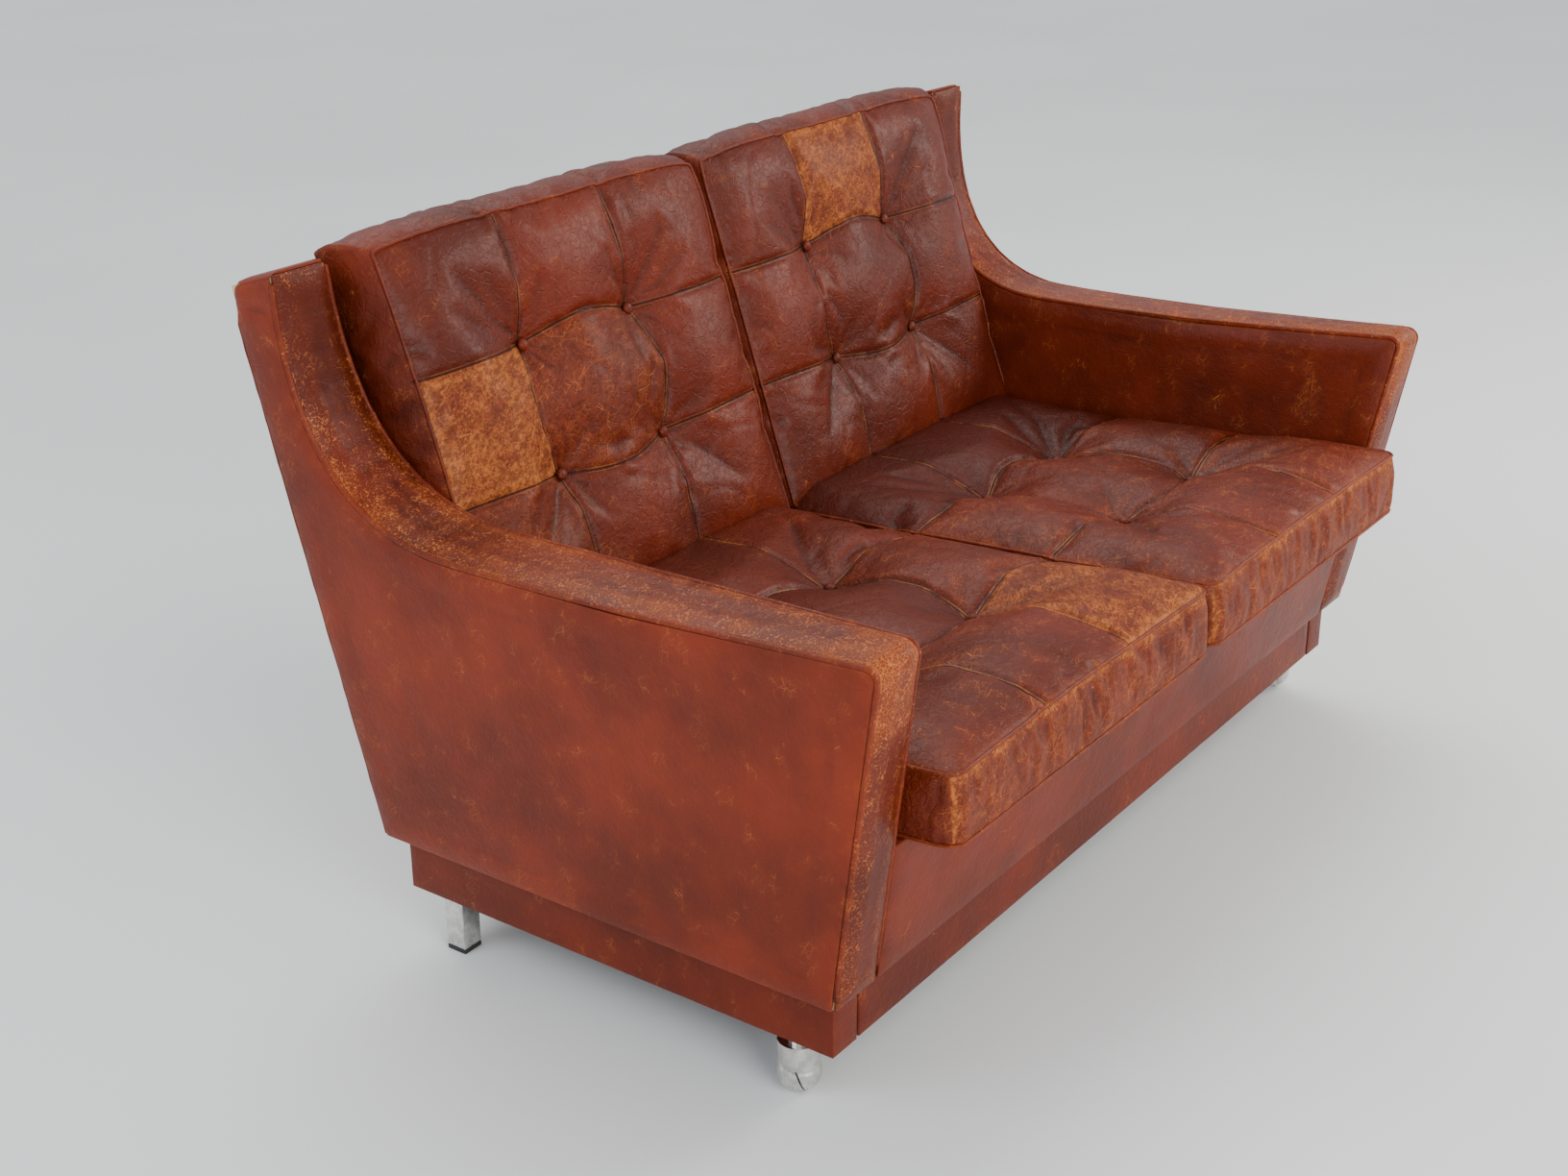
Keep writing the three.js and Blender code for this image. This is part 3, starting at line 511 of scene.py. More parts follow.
def on_border(a, b):
    return (np.minimum(a, 1 - a) < 1e-4) | (np.minimum(b, 1 - b) < 1e-4)


def slack_cushion(cushion, shape):
    """The cushion before it is filled: tufts drawn in and sides a little hollow."""
    obj = object_from(divided_box(cushion.cells), cushion.name)
    mesh = obj.data
    place = read_points(mesh)
    a, b, c = place.T
    points = cushion.corner(a, b, c)
    top = np.clip((c - 0.55) / 0.45, 0.0, 1.0)
    near = tuft_distance(place, cushion).min(axis=0)
    dimple = 0.034
    drawn = shape.tuft_depth * np.exp(-((near / dimple) ** 1.1))
    seam = seam_distance(place, cushion)
    inward = np.clip(rim_distance(a, b, cushion) / 0.05, 0.0, 1.0)
    trough = 0.0015 * np.exp(-(seam / 0.02)) * inward
    points += np.array(cushion.face)[None, :] * (-(drawn + trough) * top)[:, None]
    write_points(mesh, points)
    store_place(mesh, place)
    turn_outward(mesh)
    return obj, place


def turn_outward(mesh):
    bm = bmesh.new()
    bm.from_mesh(mesh)
    bmesh.ops.recalc_face_normals(bm, faces=bm.faces)
    bm.to_mesh(mesh)
    bm.free()
    mesh.update()


def hold(obj, place, cushion):
    """Weights of the vertices that the filling can't move: base, buttons and piping."""
    a, b, c = place.T
    near = tuft_distance(place, cushion).min(axis=0)
    on_face, on_base, thread = c > 0.999, c < 0.001, 0.010
    weights = np.zeros(len(place))
    weights[on_face & on_border(a, b)] = 0.25
    weights[on_face & (near < thread)] = 1.0
    weights[on_base] = 1.0
    group = obj.vertex_groups.new(name="held")
    for weight in sorted(set(weights)):
        if weight > 0:
            group.add(np.nonzero(weights == weight)[0].tolist(), float(weight), "REPLACE")


def fill(obj, pressure, frames=20):
    """Swells the cushion with the pressure of its filling, and keeps the shape."""
    cloth = obj.modifiers.new("filling", "CLOTH")
    for name, value in (
        ("quality", 5), ("mass", 0.35), ("tension_stiffness", 18.0),
        ("compression_stiffness", 18.0), ("shear_stiffness", 6.0), ("bending_stiffness", 0.6),
        ("air_damping", 2.0), ("use_pressure", True), ("uniform_pressure_force", pressure),
        ("shrink_min", -0.02), ("vertex_group_mass", "held"), ("pin_stiffness", 1.0),
    ):
        setattr(cloth.settings, name, value)
    cloth.settings.effector_weights.gravity = 0.0
    cloth.point_cache.frame_start = 1
    cloth.point_cache.frame_end = frames
    for step in range(1, frames + 1):
        bpy.context.scene.frame_set(step)
    bake(obj)
    bpy.context.scene.frame_set(1)


def divide_once(obj):
    divider = obj.modifiers.new("divide", "SUBSURF")
    divider.levels = divider.render_levels = 1
    bake(obj)


def build_cushion(cushion, shape, pressure, reach, seed):
    """Fills a cushion, which can swell by the reach at most, and sews it."""
    obj, place = slack_cushion(cushion, shape)
    before = read_points(obj.data)
    hold(obj, place, cushion)
    fill(obj, pressure)
    moved = read_points(obj.data) - before
    far = np.linalg.norm(moved, axis=1)
    moved *= np.minimum(1.0, reach / np.maximum(far, TINY))[:, None]
    write_points(obj.data, before + moved)
    divide_once(obj)
    sew(obj.data, cushion, shape, seed)
    return obj


def sew(mesh, cushion, shape, seed):
    """Presses in the seams, pleats the leather round the buttons and creases it."""
    place = read_place(mesh)
    points, normals = read_points(mesh), read_normals(mesh)
    a, b, c = place.T
    width, length = cushion.size
    top = np.clip((c - 0.9) / 0.1, 0.0, 1.0)
    side = 1.0 - np.clip(np.abs(c - 0.5) / 0.5, 0.0, 1.0) ** 4
    near = tuft_distance(place, cushion)
    closest, distance = near.argmin(axis=0), near.min(axis=0)
    centres = np.array(cushion.tufts)
    angle = np.arctan2(
        (b - centres[closest, 1]) * length, (a - centres[closest, 0]) * width,
    )
    seam = seam_distance(place, cushion)
    slow = ripple(points, 9.0, 2, seed)
    creases = ripple(points, 34.0, 3, seed + 3.0)
    spokes = np.cos(angle * 5.0 + slow * 3.0 + closest * 1.7 + seed)
    pleat = 1.0 - 2.0 * np.abs(spokes) ** 0.5
    reach = np.exp(-(((distance - 0.02) / 0.032) ** 2))
    long_fold = np.exp(-((np.abs(ripple(points, 7.0, 1, seed + 6.0)) / 0.035) ** 2))
    upright = ripple(points * np.array([1.0, 1.0, 0.18]), 88.0, 2, seed + 9.0)
    at_corner = np.hypot(np.minimum(a, 1 - a) * width, np.minimum(b, 1 - b) * length)
    corner_seam = side * np.exp(-((at_corner / 0.004) ** 2))
    fold_height, sag_height, crease_height, corner_height = 0.0012, 0.0008, 0.0005, 0.001
    fold = -fold_height * reach * pleat
    sag = -sag_height * long_fold * np.clip(distance / 0.06, 0.0, 1.0)
    groove = -shape.seam_depth * np.exp(-((seam / 0.0042) ** 2))
    lips = 0.3 * shape.seam_depth * np.exp(-(((seam - 0.009) / 0.004) ** 2))
    soft = crease_height * creases * (0.6 + np.exp(-distance / 0.05))
    rise = top * (fold + sag + groove + lips + soft)
    rise = rise + side * cushion.wrinkle * upright + corner_height * corner_seam
    rise[c < 0.02] = 0.0
    write_points(mesh, points + normals * rise[:, None])
    store(mesh, "seam", top * np.exp(-((seam / 0.007) ** 2)))
    for axis, word in enumerate(("across", "along")):
        gaps = [
            (place[:, axis] - seam_line(place, cushion, axis, i)) * cushion.size[axis]
            for i in (0, 1)
        ]
        nearer = np.where(np.abs(gaps[0]) < np.abs(gaps[1]), gaps[0], gaps[1])
        store(mesh, f"stitch_{word}", nearer)
    rim = np.exp(-rim_distance(a, b, cushion) / 0.007) * np.clip((c - 0.8) * 5, 0, 1)
    store(mesh, "edge", np.maximum(rim, corner_seam))
    # Nearness to a button; the leather material darkens it as painted shade in the button's dimple.
    store(mesh, "tuft", np.exp(-distance / 0.016) * top)
    store_relief(mesh)


def piping(mesh, level, radius, name):
    """A piped edge that follows the cushion's rim, at its face or its base."""
    place, points, normals = read_place(mesh), read_points(mesh), read_normals(mesh)
    a, b, c = place.T
    ids = np.nonzero((np.abs(c - level) < 1e-4) & on_border(a, b))[0]
    turn = np.arctan2((b[ids] - 0.5), (a[ids] - 0.5))
    ids = ids[np.argsort(turn)][::2]
    path = points[ids] + normals[ids] * radius * 0.45
    curve = bpy.data.curves.new(name, "CURVE")
    curve.dimensions = "3D"
    spline = curve.splines.new("POLY")
    spline.points.add(len(path) - 1)
    spline.points.foreach_set("co", np.c_[path, np.ones(len(path))].ravel())
    spline.use_cyclic_u = True
    curve.bevel_depth = radius
    curve.bevel_resolution = 2
    holder = new_object(name, curve)
    evaluated = holder.evaluated_get(bpy.context.evaluated_depsgraph_get())
    tube = bpy.data.meshes.new_from_object(evaluated)
    bpy.data.objects.remove(holder)
    return new_object(name, tube)


def covered_button(name, at, way, radius=0.0078):
    """A domed button, its leather gathered in small pleats round the rim."""
    bm = bmesh.new()
    bmesh.ops.create_uvsphere(bm, u_segments=28, v_segments=14, radius=1.0)
    for vertex in bm.verts:
        turn = math.atan2(vertex.co.y, vertex.co.x)
        rim = 1.0 - abs(vertex.co.z)
        pleat = 1.0 + 0.035 * rim * math.cos(9 * turn)
        dome = 0.62 if vertex.co.z > 0 else 0.25
        vertex.co.x *= radius * pleat
        vertex.co.y *= radius * pleat
        vertex.co.z *= radius * dome
    turn = Vector(way).to_track_quat("Z", "Y").to_matrix().to_4x4()
    bmesh.ops.transform(bm, matrix=Matrix.Translation(at) @ turn, verts=bm.verts)
    return object_from(bm, name)


# -------------------- leather and other finishes

def scaled(shade, share):
    return tuple(share * value for value in shade)


def leather(
        name, tint=1.0, rub=0.0, fleck=0.3, gloss=0.46, crackle=0.16, stitched=0.45, creasing=0.3,
):
    """Old dyed leather: mottled, creased and bare where it is rubbed, with painted shade in its
    folds and round its buttons.

    tint darkens the dye, rub wears all of it, fleck, crackle and stitched are how strongly its
    flecks, cracks and seams show, gloss is its roughness and creasing the depth of its creases.
    """
    hide = bpy.context.scene.sofa_leather
    f = Finish(name)
    edge, relief = f.attribute("edge"), f.attribute("relief")
    worn, seam, tuft = f.attribute("worn"), f.attribute("seam"), f.attribute("tuft")
    cloud = f.noise(6.0, 5.0, 0.55)
    mottle = f.noise(30.0, 6.0, 0.62)
    blotch = f.noise(85.0, 5.0, 0.6, 0.4)
    grit = f.noise(330.0, 4.0, 0.65)
    creased = f.noise(75.0, 6.0, 0.62, 0.6)
    cracks = f.cells(250.0)
    lines = 1.0 - cracks.step(0.0, 0.09)

    base, light = scaled(hide.base, tint), scaled(hide.light, tint)
    shade, dark = scaled(hide.base, 0.55 * tint), scaled(hide.base, 0.32 * tint)
    deep, tan, bright = tuple(hide.deep), tuple(hide.tan), scaled(hide.tan, 1.25)
    colour = f.mix(cloud.step(0.3, 0.72), shade, base)
    colour = f.mix(mottle.step(0.42, 0.75) * 0.12, colour, light)
    # Below 0, worn darkens the panel; on the right seat's rear row that is painted shade beside the
    # back cushion.
    colour = f.mix((worn * -1.0).clamped(), colour, dark)
    # Painted shade: the leather is darkened in the hollows of its relief and in the dimples round
    # its buttons.
    hollow = (relief * -0.6 + tuft * 0.22).clamped()
    colour = f.mix(hollow, colour, deep)

    wear = worn + edge * 0.40 + seam * 0.16 + relief * 0.22 + rub
    patchy = wear + (mottle - 0.5) * 0.9 + (blotch - 0.5) * 0.5 + (cloud - 0.5) * 0.3
    soft_wear = patchy.step(0.2, 0.95)
    colour = f.mix(soft_wear * 0.72, colour, light)
    bare = (patchy + (grit - 0.5) * 0.9 + lines * crackle).step(0.82, 1.14)
    colour = f.mix(bare * 0.78, colour, tan)
    smear = f.noise(38.0, 6.0, 0.66, 0.6, f.stretched((1.0, 0.17, 0.26), (0.5, 0.3, 0.8)))
    stain = ((smear - 0.5) * 2.4 + (blotch - 0.5) * 1.6).step(-0.22, 0.22)
    colour = f.mix(stain * worn.step(0.1, 0.5) * 0.66, colour, shade)

    spread = (grit + (creased - 0.5) * 0.6 + lines * 0.3 * crackle).step(0.61, 0.71)
    flecks = spread * (patchy.step(-0.25, 0.55) * fleck)
    colour = f.mix(flecks, colour, tan)
    for turn, scale, share in (((0.3, 0.2, 0.5), 15.0, 0.75), ((1.4, 0.9, 2.1), 24.0, 0.6)):
        drawn = f.stretched((1.0, 0.14, 0.3), turn)
        hair = 1.0 - f.cells(scale, place=drawn).step(0.0, 0.012)
        shown = hair * (mottle + worn * 0.14).step(0.55, 0.64)
        colour = f.mix(shown * share, colour, bright)

    across, along = f.attribute("stitch_across"), f.attribute("stitch_along")
    stitch = across.math("ABSOLUTE").at_most(along.math("ABSOLUTE"))
    on_face = seam.step(0.1, 0.4)
    ridge = (1.0 - (stitch - 0.0021).math("ABSOLUTE").step(0.0002, 0.0012)) * on_face
    crease = (1.0 - stitch.step(0.0003, 0.0013)) * on_face
    colour = f.mix(ridge * mottle.step(0.35, 0.6) * stitched, colour, tan)
    colour = f.mix(crease * 0.85, colour, deep)

    rough = soft_wear * 0.16 + bare * 0.12 + (mottle - 0.5) * 0.18 + gloss
    grain = f.cells(560.0, "F1")
    skin = f.bump(grain, 0.0002, 0.3)
    skin = f.bump(creased, 0.0014, creasing, skin)
    wrinkle = f.cells(58.0, place=f.stretched((1.0, 0.7, 0.8), (0.2, 0.4, 0.3))).step(0.0, 0.10)
    skin = f.bump(wrinkle * blotch.step(0.42, 0.56), 0.0008, creasing, skin)
    skin = f.bump(lines * patchy.clamped(), 0.0004, 0.45, skin)
    skin = f.bump(ridge * 0.6 - crease, 0.0010, 0.6, skin)
    return f.set(
        Base_Color=colour, Roughness=rough, Normal=skin,
        Specular_IOR_Level=0.17, Coat_Weight=0.06, Coat_Roughness=0.26,
    )


def plain_finish(name, colour, roughness, grain):
    """Timber, cloth, rubber, foam or plastic, a little uneven in shade and gloss."""
    f = Finish(name)
    speck = f.noise(grain, 5.0, 0.6)
    shade = f.mix(speck.step(0.3, 0.7), scaled(colour, 0.72), colour)
    rough = (speck - 0.5) * 0.25 + roughness
    return f.set(Base_Color=shade, Roughness=rough, Normal=f.bump(speck, 0.0004, 0.5))


def chrome_finish():
    """Old chrome: dulled in clouds, and pitted with rust close to the floor."""
    f = Finish("dulled_chrome")
    height = f.field("ShaderNodeSeparateXYZ", {}, {"Vector": f.place}, "Z")
    cloud = f.noise(90.0, 4.0, 0.6)
    pit = f.noise(520.0, 3.0, 0.6)
    low = 1.0 - height.step(0.004, 0.045)
    rust = (pit + low * 0.14).step(0.70, 0.78)
    shade = f.mix(cloud.step(0.35, 0.7), (0.52, 0.51, 0.49), (0.74, 0.73, 0.70))
    shade = f.mix(rust * 0.85, shade, (0.06, 0.045, 0.035))
    return f.set(
        Base_Color=shade,
        Metallic=1.0 - rust * 0.8,
        Roughness=cloud * 0.16 + rust * 0.4 + 0.14,
        Normal=f.bump(rust, 0.0001, 0.3),
    )


# -------------------- operators

def seams_across(inner, width):
    return tuple((x - inner) / width for x in BUTTONS_ACROSS)


def wear_and_shade_by_panel(mesh, cushion, rows, front_wear=0.0):
    """How rubbed each of the nine leather panels is, or how much darker where it is below 0; on the
    right seat's rear row that darkening is painted shade.

    The rows run from the front or foot of the cushion, and each from the middle of the sofa.
    """
    place = read_place(mesh)
    column = sum((place[:, 0] > seam_line(place, cushion, 0, i)).astype(int) for i in (0, 1))
    row = sum((place[:, 1] > seam_line(place, cushion, 1, i)).astype(int) for i in (0, 1))
    face = np.clip((place[:, 2] - 0.96) / 0.04, 0.0, 1.0)
    front = np.clip(1.0 - place[:, 1] / 0.02, 0.0, 1.0) * (1.0 - face)
    store(mesh, "worn", np.array(rows)[row, column] * face + front_wear * front)


def seat_cushion(side, name):
    inner, outer_front, outer_rear = 0.0022, 0.5765, 0.5672
    width, run = outer_front - inner, SEAT_REAR - SEAT_FRONT
    clear, squeeze, crown = 0.0012, 0.0025, 0.006
    dip, corner_round, front_bulge, corner_turn = 0.004, 0.009, 0.004, 0.008
    sine, cosine = math.sin(DECK_SLOPE), math.cos(DECK_SLOPE)
    lay_down = np.array([[1, 0, 0], [0, cosine, sine], [0, -sine, cosine]])

    def corner(a, b, c):
        """A point of the cushion: its front corners rounded, its top domed, its front bulging."""
        y = SEAT_FRONT + run * b
        outer = np.interp(y, [0.0, SEAT_TAPER_END], [outer_front, outer_rear])
        pull = dip * np.sin(math.pi * a) * (1.0 - np.abs(2 * c - 1))
        corner_in = corner_round * np.exp(-b / 0.014)
        x = inner + corner_in + (outer - inner - 1.4 * corner_in) * a
        z = WEBBING + clear + (SEAT_THICKNESS - squeeze) * c
        z = z + crown * np.clip(c, 0, 1) ** 3 * np.sin(math.pi * a) * np.sin(math.pi * b)
        bulge = front_bulge * np.sin(math.pi * c) * np.clip(1 - b / 0.1, 0, 1)
        turned = (1.0 - np.clip(np.minimum(a, 1 - a) / 0.02, 0.0, 1.0)) ** 2
        bulge = bulge - corner_turn * turned * np.clip(1 - b / 0.05, 0, 1)
        y = y + pull * np.clip(1 - b / 0.2, 0, 1) - bulge
        return np.c_[side * x, y, z] @ lay_down.T + np.array([0, -DEPTH_CENTRE, DECK_HEIGHT])

    across = seams_across(inner, width)
    along = tuple((y - SEAT_FRONT) / run for y in SEAT_BUTTONS)
    face = (0.0, sine, cosine)
    return Cushion(
        name, corner, (width, run), (72, 87, 9), (across, along), face,
        "seat_leather", 0.0016,
    )


def back_cushion(side, name):
    inner, outer_foot, outer_front, outer_rear = 0.0016, 0.5680, 0.5700, 0.5960
    width = 0.5 * (outer_foot + outer_front) - inner
    foot, head = BACK_FOOT[1], BACK_HEAD[1]
    front_slope = (BACK_HEAD[0] - BACK_FOOT[0]) / (head - foot)
    height = (head - foot) * math.hypot(1.0, front_slope)
    clear, squeeze, crown, side_bulge = 0.001, 0.004, 0.008, 0.006
    head_bulge, head_fall, corner_fall, foot_fall = 0.009, 0.006, 0.011, 0.0085
    rear_in, inner_in = 0.006, 0.005

    def corner(a, b, c):
        """A point of the cushion: its face domed, its head bulging and its corners rounded."""
        z = foot + clear + (head - foot - squeeze) * b
        front = BACK_FOOT[0] + front_slope * (z - foot)
        rear = LINING_FOOT[0] + LINING_SLOPE * (z - LINING_FOOT[1]) - 0.0015
        outer_head = outer_rear + (outer_front - outer_rear) * c
        bulge = np.sin(math.pi * np.clip(c, 0, 1))
        outer = outer_foot + (outer_head - outer_foot) * b + side_bulge * bulge * b
        at_end = np.abs(2.0 * a - 1.0) ** 5 * np.clip((b - 0.8) / 0.2, 0.0, 1.0) ** 2
        at_head = np.clip((b - 0.94) / 0.06, 0.0, 1.0)
        y = rear + (front + clear - rear) * c
        y = y - crown * c ** 3 * np.sin(math.pi * a) * np.sin(math.pi * b)
        z = z + (head_bulge * bulge - head_fall * (1.0 - c) ** 3) * at_head - corner_fall * at_end
        z = z - foot_fall * (1.0 - c) * (1.0 - b)
        x = inner + (outer - inner) * a - rear_in * a ** 8 * (1.0 - c) ** 4
        x = x + inner_in * (1.0 - a) ** 20 * (c ** 2 + np.clip((b - 0.9) / 0.1, 0.0, 1.0))
        return np.c_[side * x, y - DEPTH_CENTRE, z]

    across = seams_across(inner, width)
    along = tuple((z - foot) / (head - foot) for z in BACK_BUTTONS)
    lean = math.atan(front_slope)
    face = (0.0, -math.cos(lean), math.sin(lean))
    return Cushion(
        name, corner, (width, height), (72, 60, 10), (across, along), face,
        "back_leather", 0.0005,
    )


def add_piping(cushion, mesh, material, levels):
    """Pipes the cushion's rim at its face, and at its base where that shows."""
    radius = bpy.context.scene.sofa_shape.piping
    for level, word in levels:
        tube = piping(mesh, level, radius, f"{cushion.name}_{word}_piping")
        store(tube.data, "edge", np.full(len(tube.data.vertices), 0.55))
        finish_piece(tube, material)


def add_buttons(cushion, mesh, rows, material):
    """Seats each button in its tuft and covers the plain one."""
    place, points, lift = read_place(mesh), read_points(mesh), 0.0052
    on_face = np.nonzero(place[:, 2] > 0.999)[0]
    columns = ("inner", "outer")
    prefix = cushion.name.replace("_leather_cushion", "")
    for i, (a, b) in enumerate(cushion.tufts):
        gap = np.hypot(place[on_face, 0] - a, place[on_face, 1] - b)
        at = points[on_face[gap.argmin()]]
        word = f"{rows[i % 2]}_{columns[i // 2]}"
        node = f"{prefix}_button_{word}"
        button = covered_button(f"{node}_cover", Vector(at) + cushion.face * lift, cushion.face)
        finish_piece(button, material, [node])


class SOFA_OT_seat_cushions(bpy.types.Operator):
    """Fill, sew and button the two loose seat cushions"""

    bl_idname = "sofa.seat_cushions"
    bl_label = "Seat Cushions"

    wear = {
        "left": ((0.82, 0.20, 0.24), (0.24, -0.48, 0.10), (-0.04, -0.22, -0.30)),
        # Right seat's rear row: painted shade where the back cushion shades the seat.
        "right": ((0.26, 0.24, 0.30), (0.24, 0.20, 0.14), (-0.58, -0.62, -0.66)),
    }

    def execute(self, context):
        shape = context.scene.sofa_shape
        hide = leather(
            "seat_leather", tint=0.70, rub=0.02, fleck=0.4, stitched=0.65, creasing=0.6,
        )
        edging = leather("seat_piping", tint=0.8, rub=0.30, fleck=0.6)
        for side, word in SIDES:
            cushion = seat_cushion(side, f"seat_{word}_leather_cushion")
            obj = build_cushion(cushion, shape, 4.0, 0.024, 20.0 + side)
            wear_and_shade_by_panel(obj.data, cushion, self.wear[word], front_wear=0.60)
            finish_piece(obj, hide, [f"seat_{word}_cushion"])
            add_piping(cushion, obj.data, edging, ((1.0, "face"), (0.0, "base")))
            add_buttons(cushion, obj.data, ("front", "rear"), hide)
        return {"FINISHED"}


class SOFA_OT_back_cushions(bpy.types.Operator):
    """Fill, sew and button the two loose back cushions"""

    bl_idname = "sofa.back_cushions"
    bl_label = "Back Cushions"

    wear = {
        "left": ((0.0, 0.10, 0.50), (-0.05, 0.46, 0.95), (-0.10, -0.06, -0.32)),
        "right": ((-0.10, -0.15, -0.20), (-0.05, -0.10, -0.15), (-0.25, 0.90, -0.08)),
    }

    def execute(self, context):
        shape = context.scene.sofa_shape
        hide = leather("back_leather", tint=0.68, fleck=0.25, stitched=0.3, creasing=0.6)
        edging = leather("back_piping", tint=0.75, rub=0.06, fleck=0.3)
        for side, word in SIDES:
            cushion = back_cushion(side, f"back_{word}_leather_cushion")
            obj = build_cushion(cushion, shape, 4.5, 0.026, 40.0 + side)
            wear_and_shade_by_panel(obj.data, cushion, self.wear[word])
            finish_piece(obj, hide, [f"back_{word}_cushion"])
            add_piping(cushion, obj.data, edging, ((1.0, "face"),))
            add_buttons(cushion, obj.data, ("lower", "upper"), hide)
        return {"FINISHED"}


class SOFA_OT_arms(bpy.types.Operator):
    """Stretch the leather of both arms over their padding and pipe the edges"""

    bl_idname = "sofa.arms"
    bl_label = "Arms"

    def execute(self, context):
        crown = context.scene.sofa_shape.panel_crown
        panel = leather("arm_leather", tint=0.98, rub=-0.10, fleck=0.10, gloss=0.42)
        # The inner panels' darker tint is painted shade on the side of each arm that faces the
        # cushions.
        shaded_inside = leather("arm_inside_leather", tint=0.62, rub=-0.05, fleck=0.10, gloss=0.38)
        boxing = leather("arm_top_leather", tint=0.72, rub=0.24, fleck=1.0, gloss=0.44, crackle=0.5)
        edging = leather("arm_piping", tint=0.85, rub=0.20, fleck=0.8)
        for side, word in SIDES:
            core = [f"arm_{word}_padding"]
            for part, finish, slot, waves, swell in (
                ("outer_panel", panel, "leather", 0.0007, crown),
                ("inner_panel", shaded_inside, "leather", 0.0012, 2.0 * crown),
                ("boxing", boxing, "worn_leather", 0.0012, 2.4 * crown),
            ):
                node = f"arm_{word}_{part}"
                obj = covered_piece(node, core, 0.010, 0.0016, swell, waves, 60.0 + side)
                round_wings(obj)
                store_relief(obj.data, rounds=6, height=0.0008)
                wear_arm(obj.data, part)
                finish_piece(obj, finish, [node])
            for part in ("outer_welt", "inner_welt"):
                node = f"arm_{word}_{part}"
                obj = round_welt(node)
                round_wings(obj)
                finish_piece(obj, edging, [node])
        return {"FINISHED"}


def wear_arm(mesh, part):
    """The wings and the front stay dark, and hands rub the end of the armrest."""
    _, depth, height = read_points(mesh).T
    depth = depth + DEPTH_CENTRE
    if part == "boxing":
        on_wing = np.clip((height - 0.60) / 0.10, 0.0, 1.0)      # above the armrest
        on_front = np.clip((0.50 - height) / 0.05, 0.0, 1.0)     # below it
        at_end = np.exp(-(((depth + 0.05) / 0.06) ** 2)) * (1.0 - on_front)
        store(mesh, "worn", 0.22 * at_end - 0.45 * on_wing - 0.28 * on_front)
    elif part == "inner_panel":
        patch = np.exp(-((depth - 0.05) ** 2 + ((height - 0.46) * 0.6) ** 2) / 0.0007)
        store(mesh, "worn", 0.75 * patch)


def round_welt(node):
    """A smooth copy of a piped edge."""
    obj = object_from(cad_copy(node), f"{node}_cord")
    divide_once(obj)
    points, normals = read_points(obj.data), read_normals(obj.data)
    swell = 0.0007 + 0.0003 * ripple(points, 90.0, 1, 3.0)
    write_points(obj.data, points + normals * swell[:, None])
    store(obj.data, "edge", np.full(len(points), 0.5))
    return obj


class SOFA_OT_base(bpy.types.Operator):
    """Cover the front rail and the plinth, and finish the hidden timber and cloth"""

    bl_idname = "sofa.base"
    bl_label = "Rails and Plinth"

    def execute(self, context):
        crown = context.scene.sofa_shape.panel_crown
        rail = leather("rail_leather", tint=0.76, rub=-0.10, fleck=0.06)
        plinth = leather("plinth_leather", tint=0.70, rub=-0.04, fleck=0.12)
        obj = covered_piece("front_rail_cover", ["front_rail"], 0.012, 0.003, crown, 0.0010, 71.0)
        store_relief(obj.data)
        finish_piece(obj, rail, ["front_rail_cover"])
        for node in ("plinth_front", "plinth_rear", "plinth_left", "plinth_right"):
            obj = covered_piece(node, (), 0.014, 0.0022, 0.0003, 0.0004, 73.0)
            finish_piece(obj, plinth, [node])
        cloth = plain_finish("black_lining", (0.012, 0.011, 0.010), 0.95, grain=900.0)
        beech = plain_finish("bare_beech", (0.55, 0.36, 0.19), 0.7, grain=60.0)
        board = plain_finish("chipboard", (0.42, 0.29, 0.15), 0.85, grain=400.0)
        rubber = plain_finish("webbing_rubber", (0.075, 0.05, 0.03), 0.8, grain=700.0)
        foam = plain_finish("yellowed_foam", (0.66, 0.52, 0.24), 0.95, grain=800.0)
        for finish, nodes in (
            (cloth, ("dust_cover", "back_lining")),
            (beech, ("front_rail", "rear_rail", "centre_rail", "back_top_rail")),
            (board, ("back_board", "arm_left_side_board", "arm_right_side_board")),
            (rubber, ("seat_webbing_left", "seat_webbing_right")),
            (foam, ("arm_left_padding", "arm_right_padding")),
        ):
            for node in nodes:
                paint(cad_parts[node], finish)
        return {"FINISHED"}


class SOFA_OT_back(bpy.types.Operator):
    """Cover the back and the tops of the wings"""

    bl_idname = "sofa.back"
    bl_label = "Back"

    def execute(self, context):
        hide = leather("outer_back_leather", tint=0.92, rub=-0.10, fleck=0.08)
        panel = covered_piece(
            "back_outer_panel", ["back_board"], 0.014, 0.0016, 0.003, 0.0014, 81.0,
        )
        round_wings(panel)
        finish_piece(panel, hide, ["back_outer_panel"])
        top = covered_piece("back_top_cover", ["back_board"], 0.010, 0.0018, 0.0012, 0.0006, 83.0)
        round_wings(top)
        store_relief(top.data)
        finish_piece(top, hide, ["back_top_cover"])
        return {"FINISHED"}


def eased_copy(node, rounding):
    """A copy of a metal or plastic piece with its hard edges eased."""
    bm, sharp = flat_sided_copy(node, 40)
    ease(bm, sharp, rounding, 3)
    return object_from(bm, f"{node}_eased")


class SOFA_OT_feet(bpy.types.Operator):
    """Finish the square steel legs and the hooded ball castors"""

    bl_idname = "sofa.feet"
    bl_label = "Legs and Castors"

    def execute(self, context):
        chrome = chrome_finish()
        cap = plain_finish("foot_cap_black", (0.012, 0.012, 0.013), 0.5, grain=500.0)
        for _, word in SIDES:
            leg = eased_copy(f"rear_leg_{word}", 0.0012)
            finish_piece(leg, chrome, [f"rear_leg_{word}"])
            foot = eased_copy(f"foot_cap_{word}", 0.0008)
            finish_piece(foot, cap, [f"foot_cap_{word}"])
            for part in ("hood", "wheel", "sleeve"):
                paint(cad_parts[f"castor_{word}_{part}"], chrome)
        return {"FINISHED"}


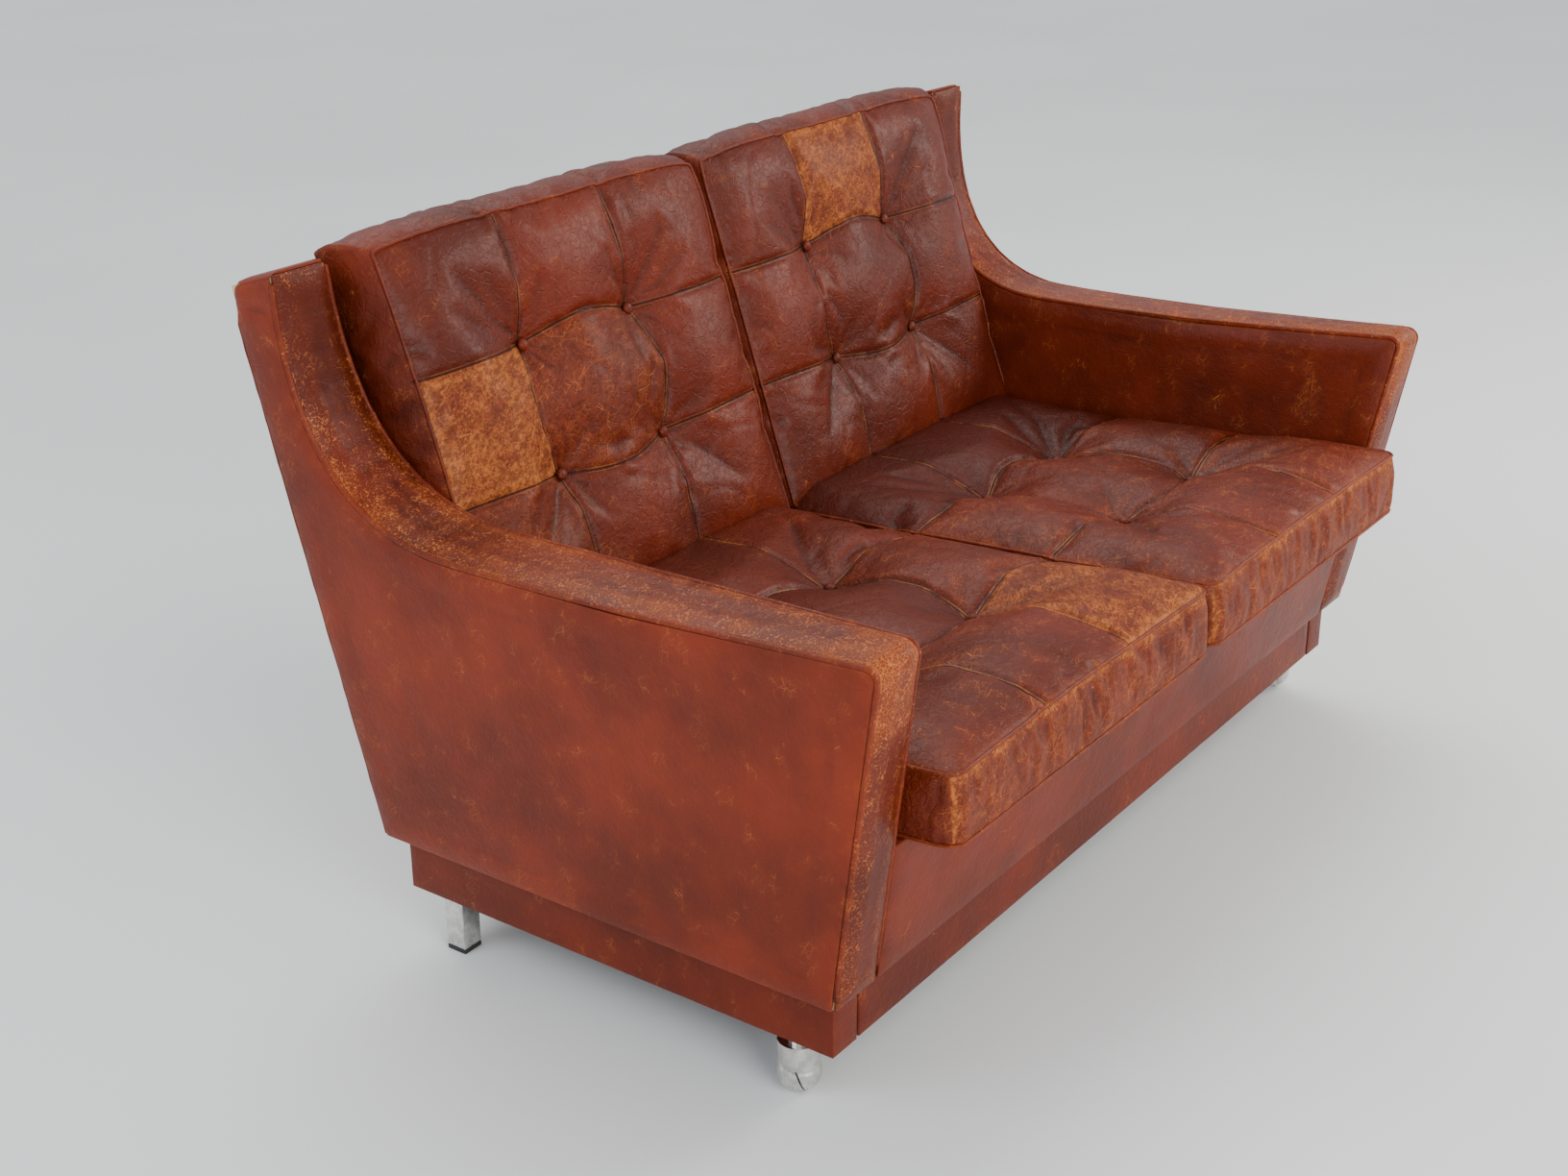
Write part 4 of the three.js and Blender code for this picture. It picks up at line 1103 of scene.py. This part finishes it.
class SOFA_OT_stage(bpy.types.Operator):
    """Set up the floor, the soft lights and the camera"""

    bl_idname = "sofa.stage"
    bl_label = "Stage"

    def execute(self, context):
        scene = context.scene
        self.camera(scene)
        self.floor(scene)
        self.lights(scene)
        return {"FINISHED"}

    def camera(self, scene):
        data = bpy.data.cameras.new("camera")
        data.sensor_width, data.lens = 36.0, 49.235
        yaw, pitch, roll = (math.radians(turn) for turn in (54.1308, 22.9144, -0.4159))
        aside, behind = -2.1629, -1.0316 - DEPTH_CENTRE
        turn = (
            Matrix.Rotation(-yaw, 4, "Z")
            @ Matrix.Rotation(math.pi / 2 - pitch, 4, "X")
            @ Matrix.Rotation(roll, 4, "Z")
        )
        camera = new_object("camera", data)
        height = scene.sofa_stage.camera_height
        camera.matrix_world = Matrix.Translation((aside, behind, height)) @ turn
        scene.camera = camera

    def floor(self, scene):
        bm = bmesh.new()
        bmesh.ops.create_grid(bm, x_segments=1, y_segments=1, size=14.0)
        ground = object_from(bm, "floor")
        f = Finish("pale_floor")
        patch = f.noise(0.9, 3.0, 0.5)
        pale = tuple(scene.sofa_stage.floor)
        shade = f.mix(patch.step(0.2, 0.8), scaled(pale, 0.93), pale)
        ground.data.materials.append(f.set(Base_Color=shade, Roughness=0.85))

    def lights(self, scene):
        world = bpy.data.worlds.new("studio")
        world.use_nodes = True
        background = world.node_tree.nodes["Background"]
        background.inputs["Color"].default_value = (0.88, 0.93, 1.0, 1.0)
        background.inputs["Strength"].default_value = 0.66
        scene.world = world
        sun = bpy.data.lights.new("open_sky", "SUN")
        sun.angle = math.radians(50.0)
        sun.energy = 1.9
        sun.color = (1.0, 0.97, 0.92)
        sky = new_object("open_sky", sun)
        sky.rotation_euler = (math.radians(-28.0), math.radians(22.0), 0.0)
        for name, at, size, power, tint in (
            ("window", (-3.4, 1.6, 2.4), 2.4, 60.0, (0.90, 0.94, 1.0)),
            ("low_sun", (3.0, -2.0, 2.2), 1.6, 100.0, (1.0, 0.94, 0.86)),
            ("front_fill", (-2.0, -3.8, 1.7), 2.4, 175.0, (1.0, 0.97, 0.94)),
        ):
            data = bpy.data.lights.new(name, "AREA")
            data.size = size
            data.energy = power
            data.color = tint
            lamp = new_object(name, data)
            lamp.location = at
            toward = Vector((0.0, 0.0, 0.4)) - Vector(at)
            lamp.rotation_euler = toward.to_track_quat("-Z", "Y").to_euler()


OPERATORS = (
    SOFA_OT_stage,
    SOFA_OT_base,
    SOFA_OT_back,
    SOFA_OT_arms,
    SOFA_OT_feet,
    SOFA_OT_seat_cushions,
    SOFA_OT_back_cushions,
)


class SOFA_PT_panel(bpy.types.Panel):
    """Lists the steps of the sofa and its sizes and colours"""

    bl_idname = "SOFA_PT_panel"
    bl_label = "Worn Leather Sofa"
    bl_space_type = "VIEW_3D"
    bl_region_type = "UI"
    bl_category = "Sofa"

    def draw(self, context):
        scene = context.scene
        for settings in (scene.sofa_leather, scene.sofa_shape, scene.sofa_stage):
            for name in settings.bl_rna.properties.keys():
                if name not in ("rna_type", "name"):
                    self.layout.prop(settings, name)
        for operator in OPERATORS:
            self.layout.operator(operator.bl_idname)


SETTINGS = {
    "sofa_leather": SofaLeatherSettings,
    "sofa_shape": SofaShapeSettings,
    "sofa_stage": SofaStageSettings,
}


def register():
    for group in SETTINGS.values():
        bpy.utils.register_class(group)
    for name, group in SETTINGS.items():
        setattr(bpy.types.Scene, name, PointerProperty(type=group))
    for operator in OPERATORS:
        bpy.utils.register_class(operator)
    bpy.utils.register_class(SOFA_PT_panel)


def unregister():
    bpy.utils.unregister_class(SOFA_PT_panel)
    for operator in reversed(OPERATORS):
        bpy.utils.unregister_class(operator)
    for name, group in SETTINGS.items():
        delattr(bpy.types.Scene, name)
        bpy.utils.unregister_class(group)


def main():
    register()
    for operator in OPERATORS:
        group, step = operator.bl_idname.split(".")
        getattr(getattr(bpy.ops, group), step)()


if __name__ == "__main__":
    main()
